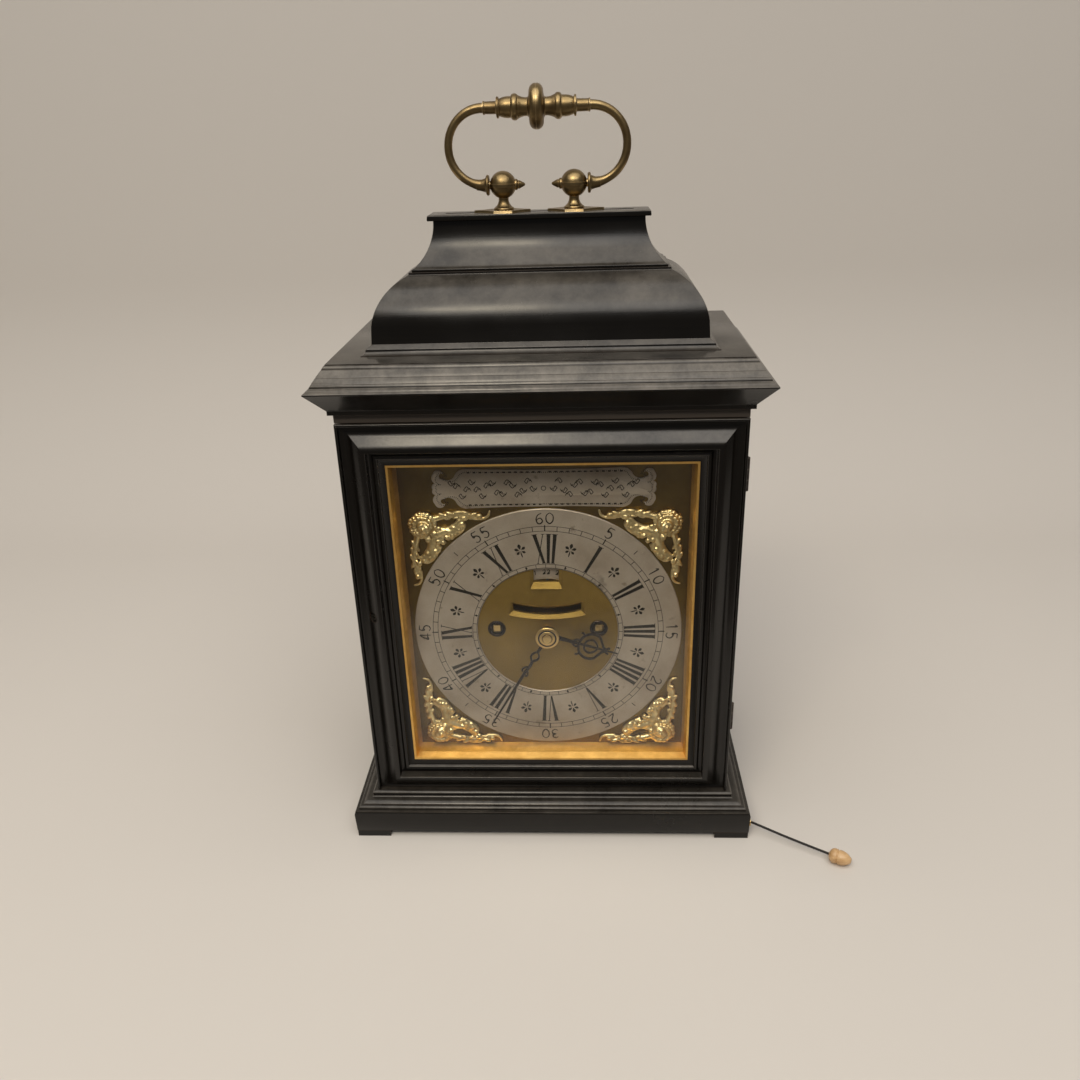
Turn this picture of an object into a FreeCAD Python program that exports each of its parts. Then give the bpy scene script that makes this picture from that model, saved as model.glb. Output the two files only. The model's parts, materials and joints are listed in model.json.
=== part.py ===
"""Bracket clock: ebonised case with a caddy top and carrying handle, brass dial, verge movement.

Millimetres. The origin is at the bottom centre, the front faces -Y and +Z is up.
"""
import FreeCAD, Part
import math
import os

V = FreeCAD.Vector

# ---- driving dimensions -------------------------------------------------------------------
CASE_X = 112.0          # half width of the case sides
CASE_Y = 62.0           # half depth of the case
FOOT_H = 4.2            # height of the block feet
PLINTH_OUT = 14.2       # how far the plinth stands out from the case
PLINTH_TOP = 19.7
STEPS_TOP = 27.5        # top of the stepped base moulding
FLOOR_TOP = 23.6        # top of the floor board
CEILING = 274.5         # underside of the top board
TOP_BOARD = 279.5
CORNICE_TOP = 307.0
OVOLO_TOP = 347.0
CAVETTO_TOP = 372.5
CAP_TOP = 375.5
SIDE_T = 10.0           # side board thickness

DOOR_BACK = -52.9       # rear plane of the front door
CASE_FRONT = -52.5      # front edges of the sides
DOOR_FACE = -64.0
DOOR_LOW = 24.1         # where the frame's profile would start below
DOOR_CUT = 28.0         # the bottom rail is planed off here, just above the base moulding
DOOR_HIGH = 274.1
STILE = 25.0            # width of the door's frame
GLASS_T = 1.6
GLASS_LAP = 3.0
HINGE_X = 113.4         # front door's hinge axis
HINGE_Y = -52.7
HINGE_SPANS = ((68.5, 87.0), (229.0, 248.5))
KNUCKLE_R = 1.75
PIN_R = 0.8
RUN = 0.05              # running clearance of a shaft in its hole

BACK_HINGE_X = 101.7
BACK_HINGE_Y = 63.6

DIAL_FACE = -42.0
DIAL_T = 2.0
DIAL_X = 89.0
DIAL_LOW, DIAL_HIGH = 45.0, 248.2
CENTRE_Z = 133.4        # dial centre
RING_R, RING_IN = 82.0, 43.3
RING_T = 1.2
SPANDREL_MID = 133.0    # height about which the top and bottom corner mounts mirror
WIND_Z = 135.0

FRONT_PLATE = (-28.0, -25.5)
BACK_PLATE = (20.0, 22.5)
PLATE_X = 68.0
PLATE_LOW, PLATE_HIGH = 58.0, 214.0

VERGE_Z = 222.0         # the verge staff, which both pendulums swing about
CROWN_Y = -5.0          # the upright crown wheel arbor
HANDLE_Z = 389.5        # pivot line of the carrying handle
POST_X = 19.4

# trains: tooth counts and modules
GREAT, PINION7, M_GREAT = 56, 7, 1.0
CENTRE_TEETH, PINION6, M_CENTRE = 48, 6, 1.1
CONTRATE_TEETH, PINION8, M_CONTRATE = 40, 8, 0.8
PIN_TEETH, M_PIN = 48, 0.85
CANNON, MINUTE_TEETH = 16, 48
MINUTE_PINION, HOUR_TEETH = 10, 40
MOTION_GAP = 14.4       # centre arbor to minute wheel

WIND_X = math.sqrt(((GREAT + PINION7) * M_GREAT / 2) ** 2 - (WIND_Z - CENTRE_Z) ** 2)
CONTRATE_Z = CENTRE_Z + (CENTRE_TEETH + PINION6) * M_CENTRE / 2
PIN_DIR, FLY_DIR = 100.0, 60.0
PIN_AT = (-WIND_X + 32.0 * M_GREAT * math.cos(math.radians(PIN_DIR)),
          WIND_Z + 32.0 * M_GREAT * math.sin(math.radians(PIN_DIR)))
FLY_GAP = (PIN_TEETH + PINION8) * M_PIN / 2
FLY_AT = (PIN_AT[0] + FLY_GAP * math.cos(math.radians(FLY_DIR)),
          PIN_AT[1] + FLY_GAP * math.sin(math.radians(FLY_DIR)))
BARREL_AT = (37.0, 84.0)
BARREL_R = 21.0
MINUTE_AT = (0.0, CENTRE_Z - MOTION_GAP)

BELL_AT = (-18.0, -4.0)
BELL_R, BELL_LOW = 34.0, 236.0
HAMMER_AT = (-62.0, 190.0)

# pull cord: 1.5 mm cord from the plinth's right side to a wooden acorn
CORD_R = 0.75
CORD_ROUTE = [(127.6, -68.7, 7.2), (130.6, -70.4, 7.1), (150.0, -81.8, 5.4), (171.8, -94.2, 4.6)]
ACORN_END = (183.6, -100.4, 4.6)


# ---- helpers ------------------------------------------------------------------------------
def box(x0, x1, y0, y1, z0, z1):
    return Part.makeBox(x1 - x0, y1 - y0, z1 - z0, V(x0, y0, z0))


def rod_x(y, z, r, x0, x1):
    return Part.makeCylinder(r, x1 - x0, V(x0, y, z), V(1, 0, 0))


def rod_y(x, z, r, y0, y1):
    return Part.makeCylinder(r, y1 - y0, V(x, y0, z), V(0, 1, 0))


def rod_z(x, y, r, z0, z1):
    return Part.makeCylinder(r, z1 - z0, V(x, y, z0), V(0, 0, 1))


def join(first, *rest):
    return first.fuse(list(rest)).removeSplitter() if rest else first


def cut(body, *tools):
    return body.cut(list(tools))


def both_sides(shape):
    """The shape and its mirror image across the middle plane."""
    return [shape, shape.mirror(V(0, 0, 0), V(1, 0, 0))]


def outline(steps, place):
    """Closed wire: a 2-value step is a line's end, a 4-value step an arc's middle and end."""
    here = start = steps[0]
    edges = []
    for step in steps[1:]:
        end = step[-2:]
        if len(step) == 2:
            edges.append(Part.makeLine(place(*here), place(*end)))
        else:
            edges.append(Part.Arc(place(*here), place(*step[:2]), place(*end)).toShape())
        here = end
    if here != start:
        edges.append(Part.makeLine(place(*here), place(*start)))
    return Part.Wire(edges)


def mitred(profile, corners):
    """A closed profile swept round a rectangle with mitred corners."""
    path = Part.makePolygon(corners + [corners[0]])
    return path.makePipeShell([profile], True, False, 1)


def moulding(steps):
    """A moulding round the case: steps are (stand-out from the sides, height)."""
    profile = outline(steps, lambda out, z: V(0, -CASE_Y - out, z))
    x, y = CASE_X, CASE_Y
    return mitred(profile, [V(0, -y, 0), V(x, -y, 0), V(x, y, 0), V(-x, y, 0), V(-x, -y, 0)])


def upright_frame(steps, x, low, high):
    """A frame standing in the XZ plane: steps are (distance in from the outer edge, y)."""
    profile = outline(steps, lambda inward, y: V(0, y, low + inward))
    return mitred(profile, [V(0, 0, low), V(x, 0, low), V(x, 0, high), V(-x, 0, high), V(-x, 0, low)])


def turned(steps, base, axis):
    """A turned piece: steps are (radius, height above base along the axis)."""
    wire = outline(steps, lambda r, h: V(r, 0, h))
    solid = Part.Face(wire).revolve(V(0, 0, 0), V(0, 0, 1), 360)
    solid.Placement = FreeCAD.Placement(base, FreeCAD.Rotation(V(0, 0, 1), axis))
    return Part.Solid(solid) if solid.ShapeType == "Shell" else solid


def teeth_outline(count, module, phase, root=0.58, tip=0.14, out=0.8, deep=1.5):
    """Corner points of a toothed disc; root and tip are shares of the pitch, phase is in radians."""
    radius = count * module / 2
    low, high = radius - deep * module, radius + out * module
    points = []
    for number in range(count):
        middle = phase + 2 * math.pi * number / count
        for r, share in ((low, -root), (high, -tip), (high, tip), (low, root)):
            angle = middle + share * math.pi * module / 2 / r
            points.append((r * math.cos(angle), r * math.sin(angle)))
    return points


def wheel(at, count, module, y0, y1, phase=0.0, hub=0.0, spokes=0, **shape):
    """A toothed wheel on an arbor along Y, crossed out to spokes when asked."""
    points = [V(at[0] + a, y0, at[1] + b) for a, b in teeth_outline(count, module, phase, **shape)]
    disc = Part.Face(Part.makePolygon(points + [points[0]])).extrude(V(0, y1 - y0, 0))
    if spokes:
        rim = count * module / 2 - 1.5 * module - 2.6
        window = cut(rod_y(at[0], at[1], rim, y0, y1), rod_y(at[0], at[1], hub, y0, y1))
        for turn in range(spokes // 2):
            bar = box(-rim - 1, rim + 1, y0, y1, -1.3, 1.3)
            bar.rotate(V(0, 0, 0), V(0, 1, 0), 180.0 * turn / (spokes // 2))
            bar.translate(V(at[0], 0, at[1]))
            window = window.cut(bar)
        disc = disc.cut(window)
    return disc


def pinion(at, count, module, y0, y1, phase):
    return wheel(at, count, module, y0, y1, phase, root=0.30, tip=0.14, out=0.6, deep=1.3)


def meshed(phase, count, other, direction):
    """Phase of a wheel of other teeth that meshes with one of count teeth, seen in a direction."""
    lead = (direction - phase) % (2 * math.pi / count)
    return direction + math.pi + lead * count / other + math.pi / other


def bearing(arbor, *places):
    """Holes for an arbor of this radius."""
    return [rod_y(x, z, arbor + RUN, -60, 60) for x, z in places]


# ---- case ---------------------------------------------------------------------------------
def make_feet():
    x, y, long, wide = CASE_X + PLINTH_OUT - 0.9, CASE_Y + PLINTH_OUT - 0.5, 21.2, 16.0
    return [box(min(sx * x, sx * (x - long)), max(sx * x, sx * (x - long)),
                min(sy * y, sy * (y - wide)), max(sy * y, sy * (y - wide)), 0, FOOT_H)
            for sx in (-1, 1) for sy in (-1, 1)]


def make_plinth():
    """Its faces lean out a little to a worn bevel under the top edge."""
    ring = moulding([(-10, FOOT_H), (PLINTH_OUT - 0.4, FOOT_H), (PLINTH_OUT, 17.2), (PLINTH_OUT - 0.7, PLINTH_TOP),
                     (-10, PLINTH_TOP)])
    core = box(-CASE_X + 9, CASE_X - 9, -CASE_Y + 9, CASE_Y - 9, FOOT_H, PLINTH_TOP)
    start = CORD_ROUTE[0]
    return cut(join(ring, core), rod_x(start[1], start[2], 1.9, CASE_X, start[0]))


def make_base_moulding():
    """Three worn steps, and the strips that carry them on under the two doors."""
    ring = moulding([(0, PLINTH_TOP), (11.5, PLINTH_TOP), (11.5, 20.4), (11.0, 21.2, 9.3, 21.7), (8.9, 21.7),
                     (8.9, 22.0), (7.9, 22.9, 4.2, 23.6), (3.9, 23.6), (3.2, 24.9, 3.6, 26.2),
                     (2.9, 27.1, 0.9, STEPS_TOP), (0, STEPS_TOP)])
    inner = CASE_X - SIDE_T - 0.1
    return join(ring, box(-CASE_X, CASE_X, -CASE_Y, CASE_FRONT - 0.1, FLOOR_TOP, STEPS_TOP),
                box(-inner, inner, 50.6, CASE_Y, FLOOR_TOP, STEPS_TOP))


def make_floor_board():
    return box(-CASE_X, CASE_X, -CASE_Y, CASE_Y, PLINTH_TOP, FLOOR_TOP)


def knuckle_bed(x, y):
    """Rounded recesses that leave room for the hinge barrels of one axis."""
    return [rod_z(x, y, KNUCKLE_R + 0.35, low - 0.4, high + 0.4) for low, high in HINGE_SPANS]


def make_side(sign):
    outer, inner = CASE_X, CASE_X - SIDE_T
    board = box(inner, outer, CASE_FRONT, CASE_Y, FLOOR_TOP, CEILING)
    window = box(inner - 1, outer + 1, -28, 38, 72, 226)
    arch = rod_x(5, 226, 33, inner - 1, outer + 1)
    rebate = join(box(inner - 1, inner + 4, -31, 41, 69, 226), rod_x(5, 226, 36, inner - 1, inner + 4))
    board = cut(board, join(window, arch), rebate)
    if sign > 0:
        beds = [box(104, 113, CASE_FRONT - 1, CASE_FRONT + 0.8, low, high) for low, high in HINGE_SPANS]
        return cut(board, *beds, *knuckle_bed(HINGE_X, HINGE_Y), *knuckle_bed(BACK_HINGE_X, BACK_HINGE_Y))
    board = board.mirror(V(0, 0, 0), V(1, 0, 0))
    return cut(board, box(-105.5, -101, -50.5, -45.5, 145, 159))


def make_side_glass():
    inner = CASE_X - SIDE_T
    pane = join(box(inner + 2.2, inner + 4, -30.8, 40.8, 69.2, 226), rod_x(5, 226, 35.8, inner + 2.2, inner + 4))
    return both_sides(pane)


def make_top_board():
    return box(-CASE_X, CASE_X, -CASE_Y, CASE_Y, CEILING, TOP_BOARD)


def make_cornice():
    ring = moulding([(-10, TOP_BOARD), (2.6, TOP_BOARD), (2.6, 281.9), (11.7, 292.5), (12.1, 292.9), (12.1, 293.5),
                     (10.6, 294.4), (10.4, 294.9), (9.1, 295.8), (8.8, 296.0), (8.7, 296.5), (5.6, 300.9, 2.9, 304.3),
                     (2.6, 304.4), (2.5, 304.9), (1.7, 306.1), (1.0, 306.3), (0.9, CORNICE_TOP), (-10, CORNICE_TOP)])
    core = box(-CASE_X + 9, CASE_X - 9, -CASE_Y + 9, CASE_Y - 9, TOP_BOARD, CORNICE_TOP)
    return join(ring, core)


def make_caddy_ovolo():
    ring = moulding([(-14.8, CORNICE_TOP), (-14.8, 307.4), (-16.6, 308.1, -17.4, 309.6), (-17.5, 310.2),
                     (-18.0, 310.8), (-20.3, 312.3), (-20.9, 321.6), (-26.2, 334.8, -40.2, 345.8), (-40.2, OVOLO_TOP),
                     (-42, OVOLO_TOP), (-42, CORNICE_TOP)])
    core = box(-CASE_X + 41, CASE_X - 41, -CASE_Y + 41, CASE_Y - 41, CORNICE_TOP, OVOLO_TOP)
    return join(ring, core)


def make_caddy_cavetto():
    ring = moulding([(-56, OVOLO_TOP), (-41.8, OVOLO_TOP), (-41.8, 348.3), (-43.4, 348.9),
                     (-50.2, 357.6, -53.8, 371.0), (-53.8, CAVETTO_TOP), (-56, CAVETTO_TOP)])
    core = box(-CASE_X + 55, CASE_X - 55, -CASE_Y + 55, CASE_Y - 55, OVOLO_TOP, CAVETTO_TOP)
    return join(ring, core)


def make_caddy_cap():
    slab = box(-61, 61, -11, 11, CAVETTO_TOP, CAP_TOP)
    return slab.makeFillet(0.6, [edge for edge in slab.Edges if edge.BoundBox.ZMin > CAP_TOP - 0.1])


# ---- carrying handle ----------------------------------------------------------------------
def rose_plate():
    near, far, waist = 14.8, 16.6, 9.5
    steps = [(POST_X - near, 0), (POST_X - 8.6, -5.2, POST_X - 5, -waist), (POST_X, -waist + 0.6, POST_X + 5, -waist),
             (POST_X + 9, -5.2, POST_X + far, 0), (POST_X + 9, 5.2, POST_X + 5, waist),
             (POST_X, waist - 0.6, POST_X - 5, waist), (POST_X - 8.6, 5.2, POST_X - near, 0)]
    return Part.Face(outline(steps, lambda x, y: V(x, y, CAP_TOP))).extrude(V(0, 0, 1.2))


def make_handle_mounts():
    """Each a shaped rose with a turned post, and a ball in which the handle swings."""
    rise = HANDLE_Z - CAP_TOP
    stem = turned([(0, 1.2), (5.3, 1.2), (5.5, 1.9, 5.0, 2.4), (3.4, 4.0, 2.7, 7.0), (2.9, 8.6), (0, 8.6)],
                  V(POST_X, 0, CAP_TOP), V(0, 0, 1))
    ball = Part.makeSphere(7.2, V(POST_X, 0, CAP_TOP + rise))
    band = rod_z(POST_X, 0, 7.45, HANDLE_Z - 0.7, HANDLE_Z + 0.7)
    ring = rod_x(0, HANDLE_Z, 2.8, POST_X - 8.0, POST_X - 6.4)
    tip = Part.makeCone(2.3, 0.6, 4.1, V(POST_X - 7.95, 0, HANDLE_Z), V(-1, 0, 0))
    knob = join(rose_plate(), stem, ball, band, ring, tip)
    return both_sides(cut(knob, rod_x(0, HANDLE_Z, 2.2 + RUN, POST_X + 1.5, POST_X + 12)))


def make_carrying_handle():
    x0, arm, top, r_low, r_high = POST_X + 9.0, 48.2, 38.5, 19.0, 19.0
    place = lambda x, z: V(x, 0, HANDLE_Z + z)
    a, b = math.sin(math.radians(45)), 1 - math.sin(math.radians(45))
    path = Part.Wire([
        Part.makeLine(place(x0, 0), place(arm - r_low, 0)),
        Part.Arc(place(arm - r_low, 0), place(arm - r_low + r_low * a, r_low * b), place(arm, r_low)).toShape(),
        Part.makeLine(place(arm, r_low), place(arm, top - r_high)),
        Part.Arc(place(arm, top - r_high), place(arm - r_high * b, top - r_high * b),
                 place(arm - r_high, top)).toShape(),
        Part.makeLine(place(arm - r_high, top), place(24, top))])
    section = Part.Wire(Part.makeCircle(2.3, place(x0, 0), V(1, 0, 0)))
    loop = path.makePipeShell([section], True, False, 0)
    collar = rod_x(0, HANDLE_Z, 5.3, POST_X + 7.5, POST_X + 9.2)
    shoulder = Part.makeCone(3.6, 2.35, 5.6, place(x0, 0), V(1, 0, 0))
    pin = rod_x(0, HANDLE_Z, 2.2, POST_X + 2.2, x0 + 1)
    half = join(loop, collar, shoulder, pin)
    steps = [(0, 0), (11.3, 0), (10.3, 2.55, 7.6, 3.8), (5.4, 4.1), (4.7, 4.3), (4.6, 5.0), (4.9, 7.4, 5.7, 9.6),
             (6.1, 10.1), (6.6, 11.7, 6.0, 13.2), (5.3, 13.6), (5.25, 16.0, 4.4, 19.4), (4.4, 19.9), (5.3, 20.2),
             (5.3, 21.2), (3.3, 21.3), (3.1, 27.5), (3.4, 27.8), (3.3, 28.6), (0, 28.6)]
    grip = [turned(steps, V(0, 0, HANDLE_Z + top), V(side, 0, 0)) for side in (-1, 1)]
    return join(half, half.mirror(V(0, 0, 0), V(1, 0, 0)), *grip)


# ---- front door ---------------------------------------------------------------------------
def keyhole(y0, y1):
    """An upright oval hole, 4.6 mm wide and 6.5 mm high."""
    return [rod_y(-102.2, 155.95, 2.3, y0, y1), rod_y(-102.2, 154.05, 2.3, y0, y1),
            box(-104.5, -99.9, y0, y1, 154.05, 155.95)]


def make_front_door():
    steps = [(0, DOOR_BACK), (0, DOOR_FACE), (1.6, DOOR_FACE), (1.6, -61.6), (2.4, -61.2), (3.0, -61.4),
             (9.7, -67.4, 16.4, -61.6), (17.2, -61.0), (18.8, -61.0), (18.9, -61.8), (20.5, -63.0, 22.1, -61.9),
             (STILE, -60.2), (STILE, DOOR_BACK - 1.9), (STILE - GLASS_LAP, DOOR_BACK - 1.9),
             (STILE - GLASS_LAP, DOOR_BACK)]
    frame = upright_frame(steps, CASE_X, DOOR_LOW, DOOR_HIGH)
    lock_bed = box(-109.2, -96.3, -57.7, -52, 138.8, 165.2)
    planed = box(-CASE_X - 1, CASE_X + 1, -70, -50, DOOR_LOW - 1, DOOR_CUT)
    frame = cut(frame, planed, lock_bed, *keyhole(-70, -56))
    beds = [box(104, 113, -53.7, -52, low, high) for low, high in HINGE_SPANS]
    return cut(frame, *beds, *knuckle_bed(HINGE_X, HINGE_Y))


def make_front_glass():
    x = CASE_X - STILE + GLASS_LAP - 0.2
    return box(-x, x, DOOR_BACK - 1.9, DOOR_BACK - 0.3, DOOR_LOW + STILE - 2.8, DOOR_HIGH - STILE + 2.8)


def make_sight_slip():
    x = CASE_X - STILE
    return upright_frame([(0, -60.0), (1.3, -60.0), (2.2, DOOR_BACK - 1.9), (0, DOOR_BACK - 1.9)], x,
                         DOOR_LOW + STILE, DOOR_HIGH - STILE)


def make_door_lock():
    case = box(-109, -96.5, -57.5, -53.1, 139, 165)
    hollow = box(-107.5, -97, -56.3, -54.1, 147, 160)
    slot = box(-102, -96.6, -54.5, -53, 149, 155)
    return cut(case, hollow, slot, *keyhole(-58, -56))


def make_lock_bolt():
    return join(box(-101.2, -97.3, -56, -54.4, 150, 154), box(-99.0, -97.3, -56, -47.2, 150, 154),
                box(-101.4, -97.3, -50, -47.2, 150, 154))


def knuckled(x, y, spans, ends, pinned):
    """Hinge barrels at two heights: the two ends of each, or its middle."""
    pieces = []
    for low, high in spans:
        third = (high - low) / 3
        parts = [(low, low + third), (high - third, high)] if ends else [(low + third + 0.2, high - third - 0.2)]
        hole = PIN_R if pinned else PIN_R + RUN
        pieces.append([cut(rod_z(x, y, KNUCKLE_R, a, b), rod_z(x, y, hole, a - 1, b + 1)) for a, b in parts])
    return pieces


def make_case_hinges():
    """Case halves of all four hinges, each with its pin."""
    solids = []
    for (low, high), barrels in zip(HINGE_SPANS, knuckled(HINGE_X, HINGE_Y, HINGE_SPANS, True, True)):
        third = (high - low) / 3
        leaf = join(box(104, HINGE_X, CASE_FRONT, CASE_FRONT + 0.8, low, low + third),
                    box(104, HINGE_X, CASE_FRONT, CASE_FRONT + 0.8, high - third, high),
                    box(104, 111, CASE_FRONT, CASE_FRONT + 0.8, low, high))
        leaf = cut(leaf, rod_z(HINGE_X, HINGE_Y, PIN_R, low - 1, high + 1))
        solids.append(join(leaf, rod_z(HINGE_X, HINGE_Y, PIN_R, low - 0.6, high + 0.6), *barrels))
    for (low, high), barrels in zip(HINGE_SPANS, knuckled(BACK_HINGE_X, BACK_HINGE_Y, HINGE_SPANS, True, True)):
        third = (high - low) / 3
        leaf = join(box(BACK_HINGE_X + 0.6, 110, CASE_Y, CASE_Y + 1.0, low, low + third),
                    box(BACK_HINGE_X + 0.6, 110, CASE_Y, CASE_Y + 1.0, high - third, high),
                    box(104, 110, CASE_Y, CASE_Y + 1.0, low, high))
        solids.append(join(leaf, rod_z(BACK_HINGE_X, BACK_HINGE_Y, PIN_R, low - 0.6, high + 0.6), *barrels))
    return solids


def make_front_door_hinges():
    solids = []
    for (low, high), barrels in zip(HINGE_SPANS, knuckled(HINGE_X, HINGE_Y, HINGE_SPANS, False, False)):
        third = (high - low) / 3
        leaf = join(box(104, HINGE_X - 0.9, -53.7, DOOR_BACK, low + third + 0.2, high - third - 0.2),
                    box(104, 111, -53.7, DOOR_BACK, low, high))
        solids.append(join(leaf, *barrels))
    return solids


# ---- back door ----------------------------------------------------------------------------
def make_back_door():
    steps = [(0, CASE_Y), (0, 51), (22, 51), (24, 52.5), (24, 57.0), (21, 57.0), (21, 59.5), (18, CASE_Y)]
    frame = upright_frame(steps, CASE_X - SIDE_T - 0.7, STEPS_TOP + 0.7, CEILING - 0.7)
    return cut(frame, *knuckle_bed(BACK_HINGE_X, BACK_HINGE_Y))


def make_back_glass():
    x = CASE_X - SIDE_T - 0.7 - 21.2
    return box(-x, x, 57.0, 58.6, STEPS_TOP + 0.7 + 21.2, CEILING - 0.7 - 21.2)


def make_back_door_hinges():
    solids = []
    for (low, high), barrels in zip(HINGE_SPANS, knuckled(BACK_HINGE_X, BACK_HINGE_Y, HINGE_SPANS, False, False)):
        third = (high - low) / 3
        leaf = join(box(93, BACK_HINGE_X - 0.9, CASE_Y, CASE_Y + 1.0, low + third + 0.2, high - third - 0.2),
                    box(93, 99, CASE_Y, CASE_Y + 1.0, low, high))
        solids.append(join(leaf, *barrels))
    return solids


def make_back_catch():
    """Turn button on the back edge of the left side board."""
    x, z = -107.0, 150.0
    bar = box(x - 3, x + 3, CASE_Y + 0.4, CASE_Y + 2.2, z - 13, z + 5)
    return join(bar, rod_y(x, z, 2.6, CASE_Y + 0.4, CASE_Y + 3.2))


# ---- dial ---------------------------------------------------------------------------------
def make_dial_mask():
    x, low, high = CASE_X - SIDE_T, FLOOR_TOP, CEILING
    edge = 102 - 86.4
    frame = upright_frame([(0, -52.3), (edge, -52.3), (edge + 1.9, DIAL_FACE - 0.1),
                           (edge + 0.4, DIAL_FACE - 0.1), (edge - 1.4, -51.0), (0, -51.0)],
                          x, low + 8.8, high - 9.0)
    return cut(frame, box(-102.5, -96.4, -53, -50, 147, 157))


def slot_arc(width, r_low, r_high, y0, y1):
    """A curved slot about the verge staff, of this half width."""
    ring = cut(rod_y(0, VERGE_Z, r_low, y0, y1), rod_y(0, VERGE_Z, r_high, y0, y1))
    return ring.common(box(-width, width, y0, y1, VERGE_Z - r_low - 1, VERGE_Z - r_high + 6))


def make_dial_plate():
    y0, y1 = DIAL_FACE, DIAL_FACE + DIAL_T
    plate = box(-DIAL_X, DIAL_X, y0, y1, DIAL_LOW, DIAL_HIGH)
    plate = cut(plate, rod_y(0, CENTRE_Z, 3.4, y0, y1), rod_y(WIND_X, WIND_Z, 4.3, y0, y1),
                rod_y(-WIND_X, WIND_Z, 4.3, y0, y1), slot_arc(20.8, 77.2, 72.2, y0, y1),
                box(-7.6, 7.6, y0, y1, 167.2, 176.7))
    studs = [rod_y(33.6 * math.cos(a), CENTRE_Z + 33.6 * math.sin(a), 0.9, y1, y1 + 2.2)
             for a in map(math.radians, (32, 148, 212, 328))]
    feet = [rod_y(x, z, 3.0, y1, FRONT_PLATE[0]) for x in (-58, 58) for z in (70, 200)]
    return join(plate, *studs, *feet)


def make_chapter_ring():
    ring = rod_y(0, CENTRE_Z, RING_R, DIAL_FACE - RING_T, DIAL_FACE)
    return cut(ring, rod_y(0, CENTRE_Z, RING_IN, DIAL_FACE - 2, DIAL_FACE + 1))


def make_nameplate():
    """Silvered cartouche with scrolled ears; its field is bare."""
    z0, z1, body, ear = 216.0, 240.4, 47.0, 64.5
    mid = (z0 + z1) / 2
    steps = [(-body, z0), (0, z0 + 1.6, body, z0), (body + 3, z0 + 5.5), (58, z0 + 4.4, ear, mid - 3.4),
             (60, mid, ear, mid + 3.4), (58, z1 - 4.4, body + 3, z1 - 5.5), (body, z1), (0, z1 - 1.6, -body, z1),
             (-body - 3, z1 - 5.5), (-58, z1 - 4.4, -ear, mid + 3.4), (-60, mid, -ear, mid - 3.4),
             (-58, z0 + 4.4, -body - 3, z0 + 5.5), (-body, z0)]
    return Part.Face(outline(steps, lambda x, z: V(x, DIAL_FACE - 1.0, z))).extrude(V(0, 1.0, 0))


def make_spandrel():
    """Corner mount at the top left: winged head on scrolls, its main masses only."""
    y0, y1 = DIAL_FACE - 1.6, DIAL_FACE
    steps = [(-80.6, 215.4), (-80.6, 168.0), (-77.5, 164.8, -74.2, 168.2), (-72.5, 180.0, -63.5, 187.5),
             (-58.5, 191.0, -55.0, 197.0), (-48.0, 204.8, -36.0, 208.6), (-32.5, 212.0, -36.0, 215.4)]
    plate = Part.Face(outline(steps, lambda x, z: V(x, y0, z))).extrude(V(0, y1 - y0, 0))
    plate = cut(plate, rod_y(0, CENTRE_Z, RING_R + 0.4, y0 - 1, y1 + 1))
    head = Part.makeSphere(6.2, V(-69.0, y0 + 1.4, 203.6))
    head = head.common(box(-90, -20, y0 - 4.2, y0 + 0.5, 160, 220))
    wings = [Part.makeSphere(5.0, V(x, y0 + 2.4, z)).common(box(-90, -20, y0 - 3, y0 + 0.5, 160, 220))
             for x, z in ((-57.5, 207.8), (-72.8, 191.4))]
    return join(plate, head, *wings)


def make_spandrels():
    top_left = make_spandrel()
    bottom_left = top_left.mirror(V(0, 0, SPANDREL_MID), V(0, 0, 1))
    return both_sides(top_left) + both_sides(bottom_left)


def make_date_ring():
    points = teeth_outline(31, 2.94, 0.1, root=0.8, tip=0.1, out=0.0, deep=0.4)
    plain = [V(a, -39.6, CENTRE_Z + b) for a, b in points]
    ring = Part.Face(Part.makePolygon(plain + [plain[0]])).extrude(V(0, 1.0, 0))
    return cut(ring, rod_y(0, CENTRE_Z, 34.8, -45, -35))


# ---- hands --------------------------------------------------------------------------------
def make_hand(length, root, wide, y0, y1, bearing_deg, bore):
    """A pierced hand: a plain root, a scroll loop and a tapering tip, turned to its bearing."""
    loop_at = root
    bar = Part.Face(outline([(-1.1, 4), (-0.9, loop_at - wide), (0.9, loop_at - wide), (1.1, 4)],
                            lambda x, z: V(x, y0, z))).extrude(V(0, y1 - y0, 0))
    loop = cut(rod_y(0, loop_at, wide, y0, y1), rod_y(0, loop_at, wide - 1.3, y0, y1))
    spear = Part.Face(outline([(-1.0, loop_at + wide - 0.8), (0, length), (1.0, loop_at + wide - 0.8)],
                              lambda x, z: V(x, y0, z))).extrude(V(0, y1 - y0, 0))
    boss = rod_y(0, 0, 5.4, y0, y1)
    hand = cut(join(boss, bar, loop, spear), rod_y(0, 0, bore, y0 - 1, y1 + 1))
    hand.rotate(V(0, 0, 0), V(0, 1, 0), bearing_deg)
    hand.translate(V(0, 0, CENTRE_Z))
    return hand


def make_minute_hand():
    return make_hand(72.5, 15.0, 4.2, -50.4, -49.4, 210.0, 1.5)


def make_hour_hand():
    return make_hand(44.5, 30.0, 6.0, -47.6, -46.6, 107.5, 2.35)


def make_hand_collet():
    dome = turned([(0, 0), (7.0, 0), (6.6, 1.4, 3.2, 2.2), (2.2, 2.4), (0, 2.4)],
                  V(0, -50.4, CENTRE_Z), V(0, -1, 0))
    return cut(dome, rod_y(0, CENTRE_Z, 1.5, -54, -49))


# ---- movement: frame ----------------------------------------------------------------------
PILLARS = ((60.0, 66.0), (-60.0, 66.0), (60.0, 206.0), (-50.0, 206.0), (-14.0, 66.0))


def plate(y0, y1):
    return box(-PLATE_X, PLATE_X, y0, y1, PLATE_LOW, PLATE_HIGH)


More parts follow.
